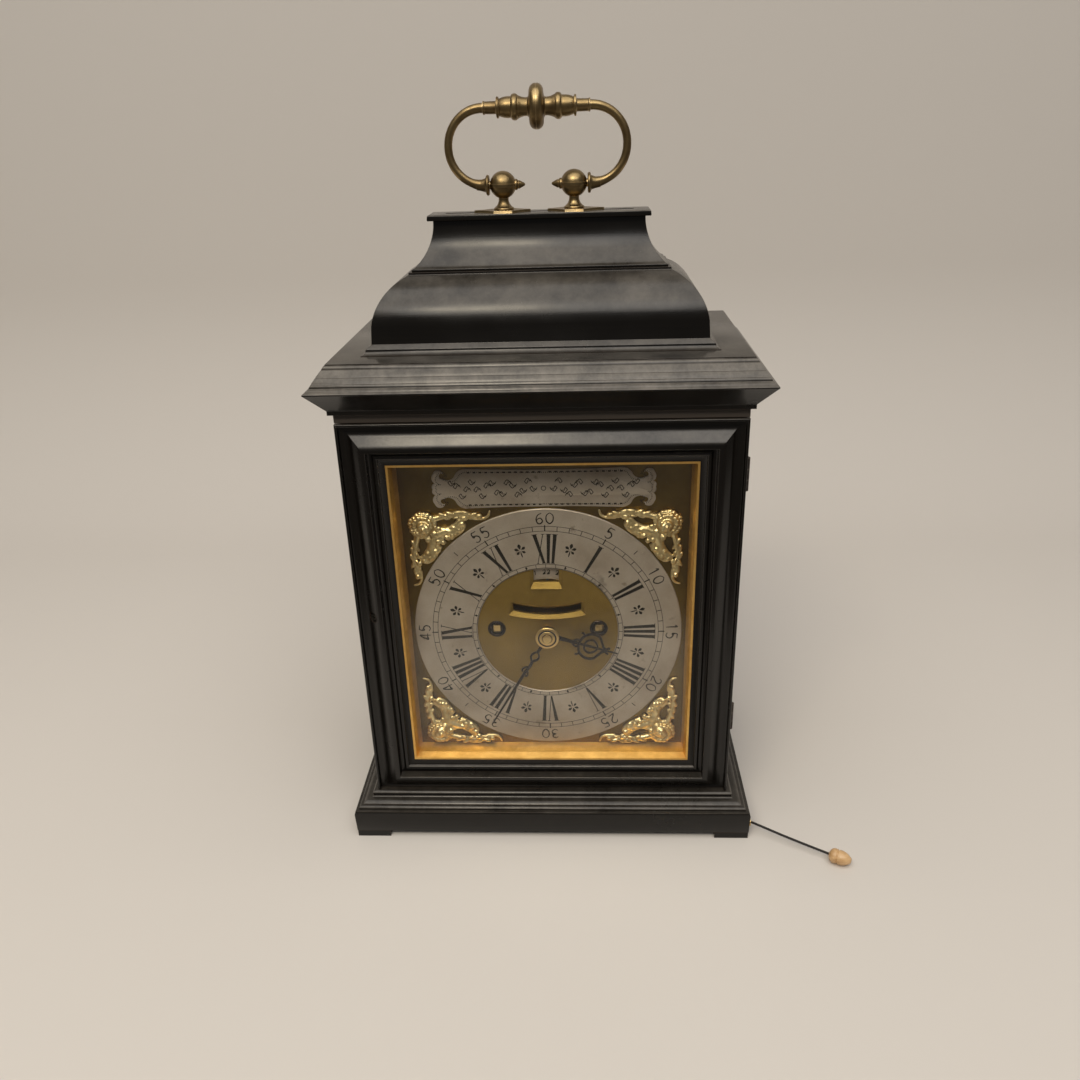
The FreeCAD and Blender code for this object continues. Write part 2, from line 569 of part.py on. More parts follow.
def make_front_plate():
    holes = bearing(1.5, (0, CENTRE_Z)) + bearing(2.6, (WIND_X, WIND_Z), (-WIND_X, WIND_Z))
    holes += bearing(1.0, MINUTE_AT, (0, CONTRATE_Z), PIN_AT, FLY_AT, BARREL_AT, HAMMER_AT)
    return cut(plate(*FRONT_PLATE), *holes)


def make_back_plate():
    holes = bearing(1.0, (0, CENTRE_Z), (0, CONTRATE_Z), PIN_AT, FLY_AT, BARREL_AT, HAMMER_AT)
    holes += bearing(1.6, (WIND_X, WIND_Z), (-WIND_X, WIND_Z))
    return cut(plate(*BACK_PLATE), *holes)


def make_plate_pillars():
    length = BACK_PLATE[0] - FRONT_PLATE[1]
    half = length / 2
    profile = [(0, 0), (4.0, 0), (4.0, 2.0), (2.4, 3.2), (2.2, half - 4), (3.6, half, 2.2, half + 4),
               (2.4, length - 3.2), (4.0, length - 2.0), (4.0, length), (0, length)]
    return [turned(profile, V(x, FRONT_PLATE[1], z), V(0, 1, 0)) for x, z in PILLARS]


def make_seat_board():
    return box(-CASE_X + SIDE_T, CASE_X - SIDE_T, -30, 24, 50, PLATE_LOW)


def make_escapement_cocks():
    """Potence of the crown wheel and the front and back cocks of the verge staff."""
    potence = join(box(-4, 4, -25.5, -22, 168.5, 191), box(-4, 4, -25.5, -2.5, 168.5, 171.5),
                   box(-4, 4, -25.5, -2.5, 188, 191))
    potence = cut(potence, rod_z(0, CROWN_Y, 0.8 + RUN, 160, 200))
    front = cut(box(-6, 6, FRONT_PLATE[0], FRONT_PLATE[1], PLATE_HIGH, VERGE_Z + 5),
                rod_y(0, VERGE_Z, 1.5 + RUN, -40, -20))
    back = cut(box(-9, 9, BACK_PLATE[1], BACK_PLATE[1] + 2, 200, VERGE_Z + 5),
               rod_y(0, VERGE_Z, 1.5 + RUN, 10, 40))
    return [potence, front, back]


# ---- movement: going train ----------------------------------------------------------------
PHASE_FUSEE = 0.0
DIR_FUSEE_TO_CENTRE = math.atan2(CENTRE_Z - WIND_Z, -WIND_X)
PHASE_PINION7 = meshed(PHASE_FUSEE, GREAT, PINION7, DIR_FUSEE_TO_CENTRE)
PHASE_PINION6 = meshed(0.0, CENTRE_TEETH, PINION6, math.pi / 2)
PHASE_MINUTE = meshed(0.0, CANNON, MINUTE_TEETH, -math.pi / 2)
PHASE_HOUR = meshed(0.0, MINUTE_PINION, HOUR_TEETH, math.pi / 2)


def make_centre_wheel():
    """Centre wheel on its arbor, which drives the minute hand."""
    at = (0, CENTRE_Z)
    leaves = pinion(at, PINION7, M_GREAT, -24.5, -19.5, PHASE_PINION7)
    disc = wheel(at, CENTRE_TEETH, M_CENTRE, 12.0, 13.6, 0.0, hub=5.0, spokes=4)
    return join(rod_y(*at, 1.5, -52.85, 16.5), rod_y(*at, 1.0, 16.5, 22.4), leaves,
                rod_y(*at, 2.6, 8.0, 12.0), disc)


def make_cannon_pinion():
    module = MOTION_GAP * 2 / (CANNON + MINUTE_TEETH)
    leaves = wheel((0, CENTRE_Z), CANNON, module, -36.2, -33.6, 0.0, root=0.44, out=0.7, deep=1.4)
    pipe = rod_y(0, CENTRE_Z, 2.3, -49.4, -33.6)
    return cut(join(leaves, pipe), rod_y(0, CENTRE_Z, 1.5, -52, -30))


def make_minute_wheel():
    module, fine = MOTION_GAP * 2 / (CANNON + MINUTE_TEETH), MOTION_GAP * 2 / (MINUTE_PINION + HOUR_TEETH)
    disc = wheel(MINUTE_AT, MINUTE_TEETH, module, -35.5, -34.3, PHASE_MINUTE, out=0.7, deep=1.4)
    leaves = pinion(MINUTE_AT, MINUTE_PINION, fine, -39.2, -35.5, 0.0)
    return join(disc, leaves, rod_y(*MINUTE_AT, 1.0, -39.4, -25.6))


def make_hour_wheel():
    fine = MOTION_GAP * 2 / (MINUTE_PINION + HOUR_TEETH)
    disc = wheel((0, CENTRE_Z), HOUR_TEETH, fine, -38.8, -37.4, PHASE_HOUR, out=0.7)
    pipe = rod_y(0, CENTRE_Z, 3.1, -46.6, -37.4)
    nose = rod_y(0, CENTRE_Z, 3.1, -47.6, -46.6)
    return cut(join(disc, pipe), rod_y(0, CENTRE_Z, 2.3 + RUN, -60, -30), nose)


def make_fusee():
    arbor = join(rod_y(WIND_X, WIND_Z, 2.6, -33.0, -20), rod_y(WIND_X, WIND_Z, 1.6, -20, 22.4))
    square = box(WIND_X - 2.1, WIND_X + 2.1, -41.4, -33.0, WIND_Z - 2.1, WIND_Z + 2.1)
    steps = [(0, 0), (19.0, 0), (19.0, 2.0)]
    steps += [(15.0, 10.5, 9.2, 24.0), (9.2, 26.0), (0, 26.0)]
    cone = turned(steps, V(WIND_X, -20.8, WIND_Z), V(0, 1, 0))
    disc = wheel((WIND_X, WIND_Z), GREAT, M_GREAT, -23.0, -20.8, PHASE_FUSEE)
    return join(arbor, square, cone, disc)


def make_going_barrel():
    drum = rod_y(*BARREL_AT, BARREL_R, -16, 8)
    rims = [rod_y(*BARREL_AT, BARREL_R + 0.8, a, a + 1.4) for a in (-16, 6.6)]
    return join(drum, rod_y(*BARREL_AT, 1.0, -28, 22.4), *rims)


def make_fusee_chain():
    """The straight run of chain from the barrel to the fusee."""
    (bx, bz), fx, fz = BARREL_AT, WIND_X, WIND_Z
    run = box(0, 1.0, -2.0, 0.0, 0, 50)
    run.rotate(V(0, 0, 0), V(0, 1, 0), -7.0)
    run.translate(V(bx + BARREL_R + 0.5, 0, bz))
    return run


def make_contrate_wheel():
    at = (0, CONTRATE_Z)
    r = CONTRATE_TEETH * M_CONTRATE / 2
    rim = cut(rod_y(*at, r + 0.9, -1.0, 3.0), rod_y(*at, r - 1.1, -1.0, 1.4))
    window = cut(rod_y(*at, r - 2.2, 1.0, 3.5), rod_y(*at, 4.0, 1.0, 3.5),
                 box(-20, 20, 1.0, 3.5, CONTRATE_Z - 1.3, CONTRATE_Z + 1.3),
                 box(-1.3, 1.3, 1.0, 3.5, CONTRATE_Z - 20, CONTRATE_Z + 20))
    rim = cut(rim, window)
    pitch = math.pi * M_CONTRATE
    tooth = Part.Face(outline([(-0.20 * pitch, -0.9), (-0.10 * pitch, -2.6), (0.10 * pitch, -2.6),
                               (0.20 * pitch, -0.9)],
                              lambda x, y: V(x, y, CONTRATE_Z + r - 0.9))).extrude(V(0, 0, 1.6))
    teeth = []
    for number in range(CONTRATE_TEETH):
        copy = tooth.copy()
        copy.rotate(V(0, 0, CONTRATE_Z), V(0, 1, 0), 360.0 * number / CONTRATE_TEETH)
        teeth.append(copy)
    leaves = pinion(at, PINION6, M_CENTRE, 10.6, 15.0, PHASE_PINION6)
    arbor = join(rod_y(*at, 1.6, -2.0, 16.0), rod_y(*at, 1.0, -28.0, 22.4))
    return join(rim, leaves, arbor, *teeth)


def make_crown_wheel():
    count, r = 15, 13.0
    r_pin = PINION8 * M_CONTRATE / 2
    points = teeth_outline(PINION8, M_CONTRATE, math.pi / 2 + math.pi / PINION8, root=0.30, tip=0.14,
                           out=0.6, deep=1.3)
    ring = [V(a, CROWN_Y + b, 174.5) for a, b in points]
    leaves = Part.Face(Part.makePolygon(ring + [ring[0]])).extrude(V(0, 0, 9.5))
    arbor = rod_z(0, CROWN_Y, 0.8, 168.6, 200)
    hub = rod_z(0, CROWN_Y, r_pin, 195, 200)
    disc = rod_z(0, CROWN_Y, r, 199, 200.4)
    wall = cut(rod_z(0, CROWN_Y, r, 199, 211), rod_z(0, CROWN_Y, r - 1.2, 200, 212))
    step = 2 * math.pi * (r - 0.6) / count
    saw = Part.Face(outline([(-0.45 * step, 210.9), (-0.40 * step, 216.0), (-0.34 * step, 216.0),
                             (0.35 * step, 210.9)], lambda x, z: V(x, CROWN_Y - r + 0.1, z)))
    saw = saw.extrude(V(0, 1.1, 0))
    teeth = []
    for number in range(count):
        copy = saw.copy()
        copy.rotate(V(0, CROWN_Y, 0), V(0, 0, 1), 360.0 * number / count)
        teeth.append(copy.common(rod_z(0, CROWN_Y, r, 210, 217)))
    return join(arbor, leaves, hub, disc, wall, *teeth)


def make_verge():
    """Verge staff with its two pallets and the rods of both pendulums."""
    staff = rod_y(0, VERGE_Z, 1.5, -31.6, 29.0)
    pallets = []
    for y, turn in ((CROWN_Y - 12.4, 48), (CROWN_Y + 12.4, -48)):
        flag = box(-0.5, 0.5, y - 2.0, y + 2.0, VERGE_Z - 5.5, VERGE_Z)
        flag.rotate(V(0, 0, VERGE_Z), V(0, 1, 0), turn)
        pallets.append(flag)
    rod = rod_z(0, 27.4, 1.0, 99, VERGE_Z)
    mock = box(-0.8, 0.8, -31.4, -30.2, 151, VERGE_Z)
    return join(staff, rod, mock, *pallets)


def make_pendulum_bob():
    lens = turned([(0, 0), (3, 0), (11, 1.6, 14, 4.0), (11, 6.4, 3, 8.0), (0, 8.0)],
                  V(0, 23.4, 88), V(0, 1, 0))
    return cut(lens, rod_z(0, 27.4, 1.0, 99, 110))


def make_mock_bob():
    return cut(rod_y(0, 147.6, 6.2, -32.4, -30.0), box(-0.8, 0.8, -31.4, -30.2, 151, 160))


# ---- movement: striking -------------------------------------------------------------------
PHASE_STRIKE = 0.0
PHASE_PIN_LEAVES = meshed(PHASE_STRIKE, GREAT, PINION8, math.radians(PIN_DIR))
PHASE_FLY = meshed(0.0, PIN_TEETH, PINION8, math.radians(FLY_DIR))


def make_strike_barrel():
    x, z = -WIND_X, WIND_Z
    drum = rod_y(x, z, 23.0, -16.4, 8)
    arbor = join(rod_y(x, z, 2.6, -33.0, -16.4), rod_y(x, z, 1.6, 8, 22.4))
    square = box(x - 2.1, x + 2.1, -41.4, -33.0, z - 2.1, z + 2.1)
    disc = wheel((x, z), GREAT, M_GREAT, -18.6, -16.4, PHASE_STRIKE)
    return join(drum, arbor, square, disc)


def make_pin_wheel():
    disc = wheel(PIN_AT, PIN_TEETH, M_PIN, 15.4, 16.8, 0.0, hub=4.0, spokes=4)
    leaves = pinion(PIN_AT, PINION8, M_GREAT, -20.0, -15.0, PHASE_PIN_LEAVES)
    pins = [rod_y(PIN_AT[0] + 17.2 * math.cos(a), PIN_AT[1] + 17.2 * math.sin(a), 0.7, 13.2, 15.4)
            for a in (2 * math.pi * number / 8 for number in range(8))]
    arbor = join(rod_y(*PIN_AT, 1.0, -28, 22.4), rod_y(*PIN_AT, 1.8, -20, 17.6))
    return join(arbor, disc, leaves, *pins)


def make_fly():
    x, z = FLY_AT
    leaves = pinion(FLY_AT, PINION8, M_PIN, 14.4, 18.0, PHASE_FLY)
    vane = box(x - 9.6, x + 9.6, -12, 9, z - 0.4, z + 0.4)
    return join(rod_y(x, z, 1.0, -28, 22.4), rod_y(x, z, 1.7, -14, 11), vane, leaves)


def make_bell():
    steps = [(BELL_R, 0), (BELL_R - 1.2, 6), (BELL_R * 0.82, 19, 8, 26), (3.2, 26.6), (3.2, 24.8), (7.6, 24.2),
             (BELL_R * 0.82 - 2.0, 17.6, BELL_R - 3.2, 6), (BELL_R - 2.2, 0)]
    return turned(steps, V(BELL_AT[0], BELL_AT[1], BELL_LOW), V(0, 0, 1))


def make_bell_stand():
    x, y = BELL_AT
    top = BELL_LOW + 26.6
    post = box(x - 5, x + 5, BACK_PLATE[1], BACK_PLATE[1] + 3, 196, 232)
    back = box(x - 4, x + 4, 34, 37, 229, top + 4)
    foot = box(x - 4, x + 4, BACK_PLATE[1], 37, 229, 232)
    arm = box(x - 4, x + 4, y - 4, 37, top + 1, top + 4)
    return join(post, foot, back, arm, rod_z(x, y, 3.1, top - 3.5, top + 1))


def make_hammer():
    x, z = HAMMER_AT
    head_x = BELL_AT[0] - BELL_R - 1.0
    arbor = rod_y(x, z, 1.0, -28, 22.4)
    arm = box(-1.2, 1.2, 6.6, 9.4, 0, 52)
    arm.rotate(V(0, 0, 0), V(0, 1, 0), 2.0)
    arm.translate(V(x, 0, z))
    head = rod_x(8.0, 240.5, 3.6, head_x - 12, head_x)
    reach = rod_x(8.0, z, 2.4, x - 1.5, x + 1.5)
    tail = box(x, x + 1.8, 6.6, 9.4, z - 12, z)
    return join(arbor, rod_y(x, z, 2.4, 4, 12), arm, head, reach, tail)


# ---- pull cord ----------------------------------------------------------------------------
def cord_path(route):
    """Straight runs joined by tangent arcs as large as the runs allow."""
    points = [V(*p) for p in route]
    edges, here, radii = [], points[0], []
    for before, corner, after in zip(points, points[1:], points[2:]):
        into, out = (corner - before).normalize(), (after - corner).normalize()
        half = into.getAngle(out) / 2
        trim = 0.45 * min((corner - before).Length, (after - corner).Length)
        radii.append(trim / math.tan(half))
        start, end = corner - into * trim, corner + out * trim
        middle = corner + (out - into).normalize() * radii[-1] * (1 / math.cos(half) - 1)
        edges += [Part.makeLine(here, start), Part.Arc(start, middle, end).toShape()]
        here = end
    edges.append(Part.makeLine(here, points[-1]))
    return Part.Wire(edges), radii


def make_pull_cord():
    path, radii = cord_path(CORD_ROUTE)
    heading = V(*CORD_ROUTE[1]) - V(*CORD_ROUTE[0])
    section = Part.Wire(Part.makeCircle(CORD_R, V(*CORD_ROUTE[0]), heading))
    tube = path.makePipeShell([section], True, False, 0)
    expected = math.pi * CORD_R ** 2 * path.Length
    print("cord length %.1f, radii %s, volume %.2f of %.2f" % (
        path.Length, ["%.0f" % r for r in radii], tube.Volume, expected))
    return tube


def make_cord_bush():
    x, (x0, y, z) = CASE_X + PLINTH_OUT, CORD_ROUTE[0]
    sleeve = join(rod_x(y, z, 1.9, x - 6, x0), rod_x(y, z, 2.6, x - 0.2, x0))
    return cut(sleeve, rod_x(y, z, CORD_R, x - 8, x0 + 1))


def make_pull_acorn():
    base, end = V(*CORD_ROUTE[-1]), V(*ACORN_END)
    length = (end - base).Length
    steps = [(0, 0), (1.7, 0), (2.1, 0.3), (3.8, 1.3, 4.5, 3.6), (4.5, 4.7), (4.1, 5.0), (4.1, 5.4), (4.45, 5.7),
             (4.2, 8.8, 2.6, length - 1.4), (1.9, length - 0.4), (1.2, length), (0, length)]
    return turned(steps, base, end - base)


# ---- output -------------------------------------------------------------------------------
NODES = {
    "feet": make_feet, "plinth": make_plinth, "base_moulding": make_base_moulding,
    "floor_board": make_floor_board, "side_left": lambda: make_side(-1), "side_right": lambda: make_side(1),
    "side_glass": make_side_glass, "top_board": make_top_board, "cornice": make_cornice,
    "caddy_ovolo": make_caddy_ovolo, "caddy_cavetto": make_caddy_cavetto, "caddy_cap": make_caddy_cap,
    "handle_mounts": make_handle_mounts,
    "carrying_handle": make_carrying_handle,
    "front_door": make_front_door, "front_glass": make_front_glass, "sight_slip": make_sight_slip,
    "door_lock": make_door_lock, "lock_bolt": make_lock_bolt, "case_hinges": make_case_hinges,
    "front_door_hinges": make_front_door_hinges, "back_door": make_back_door, "back_glass": make_back_glass,
    "back_door_hinges": make_back_door_hinges, "back_catch": make_back_catch,
    "dial_mask": make_dial_mask, "dial_plate": make_dial_plate,
    "chapter_ring": make_chapter_ring, "nameplate": make_nameplate, "spandrels": make_spandrels,
    "date_ring": make_date_ring, "minute_hand": make_minute_hand, "hour_hand": make_hour_hand,
    "hand_collet": make_hand_collet,
    "front_plate": make_front_plate, "back_plate": make_back_plate, "plate_pillars": make_plate_pillars,
    "seat_board": make_seat_board, "escapement_cocks": make_escapement_cocks,
    "centre_wheel": make_centre_wheel, "cannon_pinion": make_cannon_pinion,
    "minute_wheel": make_minute_wheel, "hour_wheel": make_hour_wheel, "fusee": make_fusee,
    "going_barrel": make_going_barrel, "fusee_chain": make_fusee_chain,
    "contrate_wheel": make_contrate_wheel, "crown_wheel": make_crown_wheel, "verge": make_verge,
    "pendulum_bob": make_pendulum_bob, "mock_bob": make_mock_bob,
    "strike_barrel": make_strike_barrel, "pin_wheel": make_pin_wheel,
    "fly": make_fly, "bell": make_bell, "bell_stand": make_bell_stand, "hammer": make_hammer,
    "pull_cord": make_pull_cord, "cord_bush": make_cord_bush, "pull_acorn": make_pull_acorn,
}


def main():
    os.makedirs("parts", exist_ok=True)
    triangles = 0
    for name, make in NODES.items():
        shape = make()
        if isinstance(shape, list):
            shape = Part.makeCompound(shape)
        flat = [face for face in shape.Faces if face.Surface.TypeId == "Part::GeomPlane"]
        triangles += sum(len(face.Edges) - 2 for face in flat if len(face.Edges) > 2)
        if not shape.isValid() or any(solid.Volume <= 0 for solid in shape.Solids):
            print("check", name, shape.isValid(), [round(s.Volume, 1) for s in shape.Solids])
        shape.exportStep("parts/%s.step" % name)
    print(len(NODES), "nodes,", triangles, "triangles on flat facets")


main()
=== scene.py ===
# %% [markdown]
# # A bracket clock, dressed for the camera
# The clock is an ebonised box with a stepped, curved top (a caddy), one brass carrying
# handle and a brass dial behind a glazed door. Its real sizes, its joints and its
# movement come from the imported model, which is loaded here as a fixed frame. This
# lesson gives every surface its finish and remakes the pieces whose curves need more
# than flat facets: the mouldings, the handle, the hands and the cast corner mounts.

# %% Load the frame
import json
import math
import random

import bmesh
import bpy
from mathutils import Matrix, Vector


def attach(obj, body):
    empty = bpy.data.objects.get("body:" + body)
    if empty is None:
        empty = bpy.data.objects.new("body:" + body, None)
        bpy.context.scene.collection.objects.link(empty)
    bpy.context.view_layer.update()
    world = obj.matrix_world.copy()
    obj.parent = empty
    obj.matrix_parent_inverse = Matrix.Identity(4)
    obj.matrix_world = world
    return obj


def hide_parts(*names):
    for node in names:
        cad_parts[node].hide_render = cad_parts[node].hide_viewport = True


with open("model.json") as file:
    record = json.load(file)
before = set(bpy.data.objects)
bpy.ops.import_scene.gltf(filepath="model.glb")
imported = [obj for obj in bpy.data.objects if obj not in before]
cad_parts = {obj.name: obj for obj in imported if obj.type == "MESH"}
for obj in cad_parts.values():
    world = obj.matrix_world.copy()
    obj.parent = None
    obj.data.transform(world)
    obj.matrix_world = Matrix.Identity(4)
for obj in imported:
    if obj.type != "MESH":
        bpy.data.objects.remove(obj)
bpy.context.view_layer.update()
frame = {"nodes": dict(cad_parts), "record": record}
NODES = frame["nodes"]
MM = 0.001

# %% [markdown]
# ## The camera
# A photograph is matched by standing where the photographer stood. The clock's own
# corners give that place: with the case 224 mm wide, only one camera position and one
# lens make all its edges fall where the picture has them. It stands about half a metre
# in front and looks down by 24 degrees.

# %% Camera at the photograph's place
CAMERA_AT = Vector((24.36, -546.20, 423.02)) * MM
CAMERA_RIGHT = Vector((0.99873, 0.04121, -0.02885))
CAMERA_UP = Vector((0.00928, 0.41280, 0.91077))
CAMERA_AHEAD = Vector((-0.04944, 0.90989, -0.41190))
FOCAL_PIXELS, FRAME_PIXELS, SENSOR_MM = 936.47, 1080, 36.0

camera_data = bpy.data.cameras.new("photo_camera")
camera_data.sensor_width = SENSOR_MM
camera_data.lens = FOCAL_PIXELS / FRAME_PIXELS * SENSOR_MM
camera_data.clip_start = 0.01
camera = bpy.data.objects.new("photo_camera", camera_data)
bpy.context.scene.collection.objects.link(camera)
turn = Matrix((CAMERA_RIGHT, CAMERA_UP, -CAMERA_AHEAD)).transposed().to_4x4()
camera.matrix_world = Matrix.Translation(CAMERA_AT) @ turn
bpy.context.scene.camera = camera
bpy.context.scene.view_settings.view_transform = "Standard"
print("lens %.2f mm" % camera_data.lens)

# %% [markdown]
# ## The pull cord
# A thin black cord leaves a brass bush in the plinth's right side and runs a few
# centimetres over the ground to a turned acorn. A cord is one smooth curve, so it is a
# NURBS spline through a handful of control points, with a round bevel for its thickness.

# %% Pull cord
CORD_R, SPLINE_ORDER = 0.75 * MM, 3
CORD_ROUTE = [(127.6, -68.7, 7.2), (130.6, -70.4, 7.1), (150.0, -81.8, 5.4), (171.8, -94.2, 4.6)]
ACORN_END = Vector((183.6, -100.4, 4.6)) * MM

cord_curve = bpy.data.curves.new("pull_cord_line", "CURVE")
cord_curve.dimensions = "3D"
cord_curve.bevel_depth = CORD_R
cord_curve.bevel_resolution = 5
cord_curve.resolution_u = 16
spline = cord_curve.splines.new("NURBS")
spline.points.add(len(CORD_ROUTE) - 1)
for point, place in zip(spline.points, CORD_ROUTE):
    point.co = (*(Vector(place) * MM), 1.0)
spline.order_u = SPLINE_ORDER
spline.use_endpoint_u = True
pull_cord = bpy.data.objects.new("silk_pull_cord", cord_curve)
bpy.context.scene.collection.objects.link(pull_cord)

# %% [markdown]
# ## Small tools for making meshes
# Most pieces here are one of three things: a profile carried round a rectangle with
# mitred corners, as a joiner planes a moulding; a profile spun on an axis, as a turner
# makes it; or a flat shape cut from sheet. Outlines are written the way a maker draws
# them, as straight runs and arcs, and one helper turns them into points.

# %% Outlines, sheets and shading
ARC_STEP = 0.9     # length of a facet along an arc, in millimetres
SHARP = math.radians(32)


def arc_points(start, middle, end, step):
    """Points after start along the arc through the three points."""
    (ax, ay), (mx, my), (bx, by) = start, middle, end
    twice = 2 * (ax * (my - by) + mx * (by - ay) + bx * (ay - my))
    sa, sm, sb = ax * ax + ay * ay, mx * mx + my * my, bx * bx + by * by
    cx = (sa * (my - by) + sm * (by - ay) + sb * (ay - my)) / twice
    cy = (sa * (bx - mx) + sm * (ax - bx) + sb * (mx - ax)) / twice
    radius = math.hypot(ax - cx, ay - cy)
    first = math.atan2(ay - cy, ax - cx)
    full = 2 * math.pi
    sweep = (math.atan2(by - cy, bx - cx) - first) % full
    if (math.atan2(my - cy, mx - cx) - first) % full > sweep:
        sweep -= full
    count = max(3, math.ceil(abs(sweep) * radius / step))
    return [(cx + radius * math.cos(first + sweep * i / count),
             cy + radius * math.sin(first + sweep * i / count)) for i in range(1, count + 1)]


def outline(steps, step=ARC_STEP):
    """Points of an outline: a 2-value step is a line's end, a 4-value step an arc."""
    points = [tuple(steps[0])]
    for move in steps[1:]:
        if len(move) == 2:
            points.append(tuple(move))
        else:
            points += arc_points(points[-1], move[:2], move[2:], step)
    if math.dist(points[0], points[-1]) < 1e-6:
        points.pop()
    return points


def shade(mesh, angle=SHARP):
    """Smooth shading, with edges sharper than the angle kept crisp."""
    mesh.polygons.foreach_set("use_smooth", [True] * len(mesh.polygons))
    mesh.set_sharp_from_angle(angle=angle)


def piece(name, bm, material, body, replaces=(), angle=SHARP, bevel=0.0):
    """Makes a bmesh built in millimetres a finished object on its body."""
    bmesh.ops.remove_doubles(bm, verts=bm.verts, dist=1e-4)
    bmesh.ops.recalc_face_normals(bm, faces=bm.faces)
    bmesh.ops.scale(bm, vec=(MM, MM, MM), verts=bm.verts)
    mesh = bpy.data.meshes.new(name)
    bm.to_mesh(mesh)
    bm.free()
    mesh.materials.append(material)
    made = bpy.data.objects.new(name, mesh)
    bpy.context.scene.collection.objects.link(made)
    if bevel:
        soft = made.modifiers.new("soft edges", "BEVEL")
        soft.width, soft.segments, soft.limit_method = bevel * MM, 2, "ANGLE"
        soft.angle_limit = math.radians(28)
        settle(made)
    shade(made.data, angle)
    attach(made, body)
    if replaces:
        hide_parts(*replaces)
    return made


def settle(made):
    """Turns an object and its modifiers into a plain mesh."""
    depsgraph = bpy.context.evaluated_depsgraph_get()
    plain = bpy.data.meshes.new_from_object(made.evaluated_get(depsgraph))
    made.modifiers.clear()
    made.data = plain
    return made


# %% Profiles carried round, spun and cut out
def carried(bm, profile, corner):
    """A closed profile carried round a rectangle; corner(sx, sy, a, b) places a point."""
    count = len(profile)
    verts = [bm.verts.new(corner(sx, sy, a, b))
             for sx, sy in ((-1, -1), (1, -1), (1, 1), (-1, 1)) for a, b in profile]
    for side in range(4):
        here, after = side * count, (side + 1) % 4 * count
        for i in range(count):
            j = (i + 1) % count
            bm.faces.new((verts[here + i], verts[after + i], verts[after + j], verts[here + j]))


def spun(bm, profile, base, axis, parts=56):
    """A profile of (radius, height) spun about an axis from base."""
    turn_to = Vector((0, 0, 1)).rotation_difference(Vector(axis)).to_matrix()
    base = Vector(base)
    rings = []
    for r, h in profile:
        if r < 1e-6:
            rings.append([bm.verts.new(base + turn_to @ Vector((0, 0, h)))])
        else:
            rings.append([bm.verts.new(base + turn_to @ Vector((
                r * math.cos(2 * math.pi * k / parts), r * math.sin(2 * math.pi * k / parts), h)))
                for k in range(parts)])
    for low, high in zip(rings, rings[1:]):
        for k in range(parts):
            n = (k + 1) % parts
            corners = [low[k % len(low)], low[n % len(low)], high[n % len(high)], high[k % len(high)]]
            corners = list(dict.fromkeys(corners))
            if len(corners) > 2:
                bm.faces.new(corners)


def sheet_cut(bm, points, y0, y1):
    """A flat outline in X and Z given a thickness from y0 to y1."""
    front = [bm.verts.new((x, y0, z)) for x, z in points]
    back = [bm.verts.new((x, y1, z)) for x, z in points]
    bm.faces.new(front)
    bm.faces.new(back[::-1])
    for i in range(len(points)):
        j = (i + 1) % len(points)
        bm.faces.new((front[i], front[j], back[j], back[i]))


def ribbon(bm, line, widths, y0, y1):
    """A strip along a line in X and Z, of a half width at each point."""
    left, right = [], []
    for i, (x, z) in enumerate(line):
        before, after = line[max(i - 1, 0)], line[min(i + 1, len(line) - 1)]
        along = Vector((after[0] - before[0], after[1] - before[1])).normalized()
        w = widths[i] if isinstance(widths, (list, tuple)) else widths
        left.append((x - along.y * w, z + along.x * w))
        right.append((x + along.y * w, z - along.x * w))
    sheet_cut(bm, left + right[::-1], y0, y1)


def annulus(bm, r0, r1, y0, y1, centre, parts=180):
    """A flat ring about an axis along Y."""
    rows = [[bm.verts.new((centre[0] + r * math.sin(2 * math.pi * k / parts), y,
                           centre[1] + r * math.cos(2 * math.pi * k / parts))) for k in range(parts)]
            for r, y in ((r0, y0), (r1, y0), (r1, y1), (r0, y1))]
    for a in range(4):
        for k in range(parts):
            n = (k + 1) % parts
            bm.faces.new((rows[a][k], rows[a][n], rows[(a + 1) % 4][n], rows[(a + 1) % 4][k]))


def smooth_line(points, parts=6):
    """A curve through given points."""
    line = []
    ends = [points[0], *points, points[-1]]
    for p0, p1, p2, p3 in zip(ends, ends[1:], ends[2:], ends[3:]):
        for step in range(parts):
            t = step / parts
            line.append(tuple(0.5 * (2 * b + (c - a) * t + (2 * a - 5 * b + 4 * c - d) * t * t
                                     + (3 * b - a - 3 * c + d) * t ** 3)
                              for a, b, c, d in zip(p0, p1, p2, p3)))
    return line + [tuple(points[-1])]


def block(bm, low, high):
    """A box between two corners."""
    low, high = Vector(low), Vector(high)
    bmesh.ops.create_cube(bm, size=1.0, matrix=Matrix.Translation((low + high) / 2)
                          @ Matrix.Diagonal((*(high - low), 1)))


def lump(bm, centre, radii, tilt=0.0):
    """An ellipsoid, tilted about the Y axis."""
    place = (Matrix.Translation(Vector(centre)) @ Matrix.Rotation(tilt, 4, "Y")
             @ Matrix.Diagonal((*radii, 1.0)))
    bmesh.ops.create_icosphere(bm, subdivisions=3, radius=1.0, matrix=place)


def stem(bm, line, radii):
    """A run of lumps close enough to melt into one tapering stem."""
    for i, place in enumerate(line):
        r = radii[0] + (radii[1] - radii[0]) * i / (len(line) - 1)
        bmesh.ops.create_icosphere(bm, subdivisions=2, radius=r, matrix=Matrix.Translation(Vector(place)))


# %% [markdown]
# ## Shared effects
# Old finishes have the same few habits whatever they are made of. Edges rub bright or
# bare, flat places gather a film of dirt, polishing leaves fine marks, and dust settles
# on the upper slopes. Each habit is one node group with named inputs, and every material
# uses them with its own values.

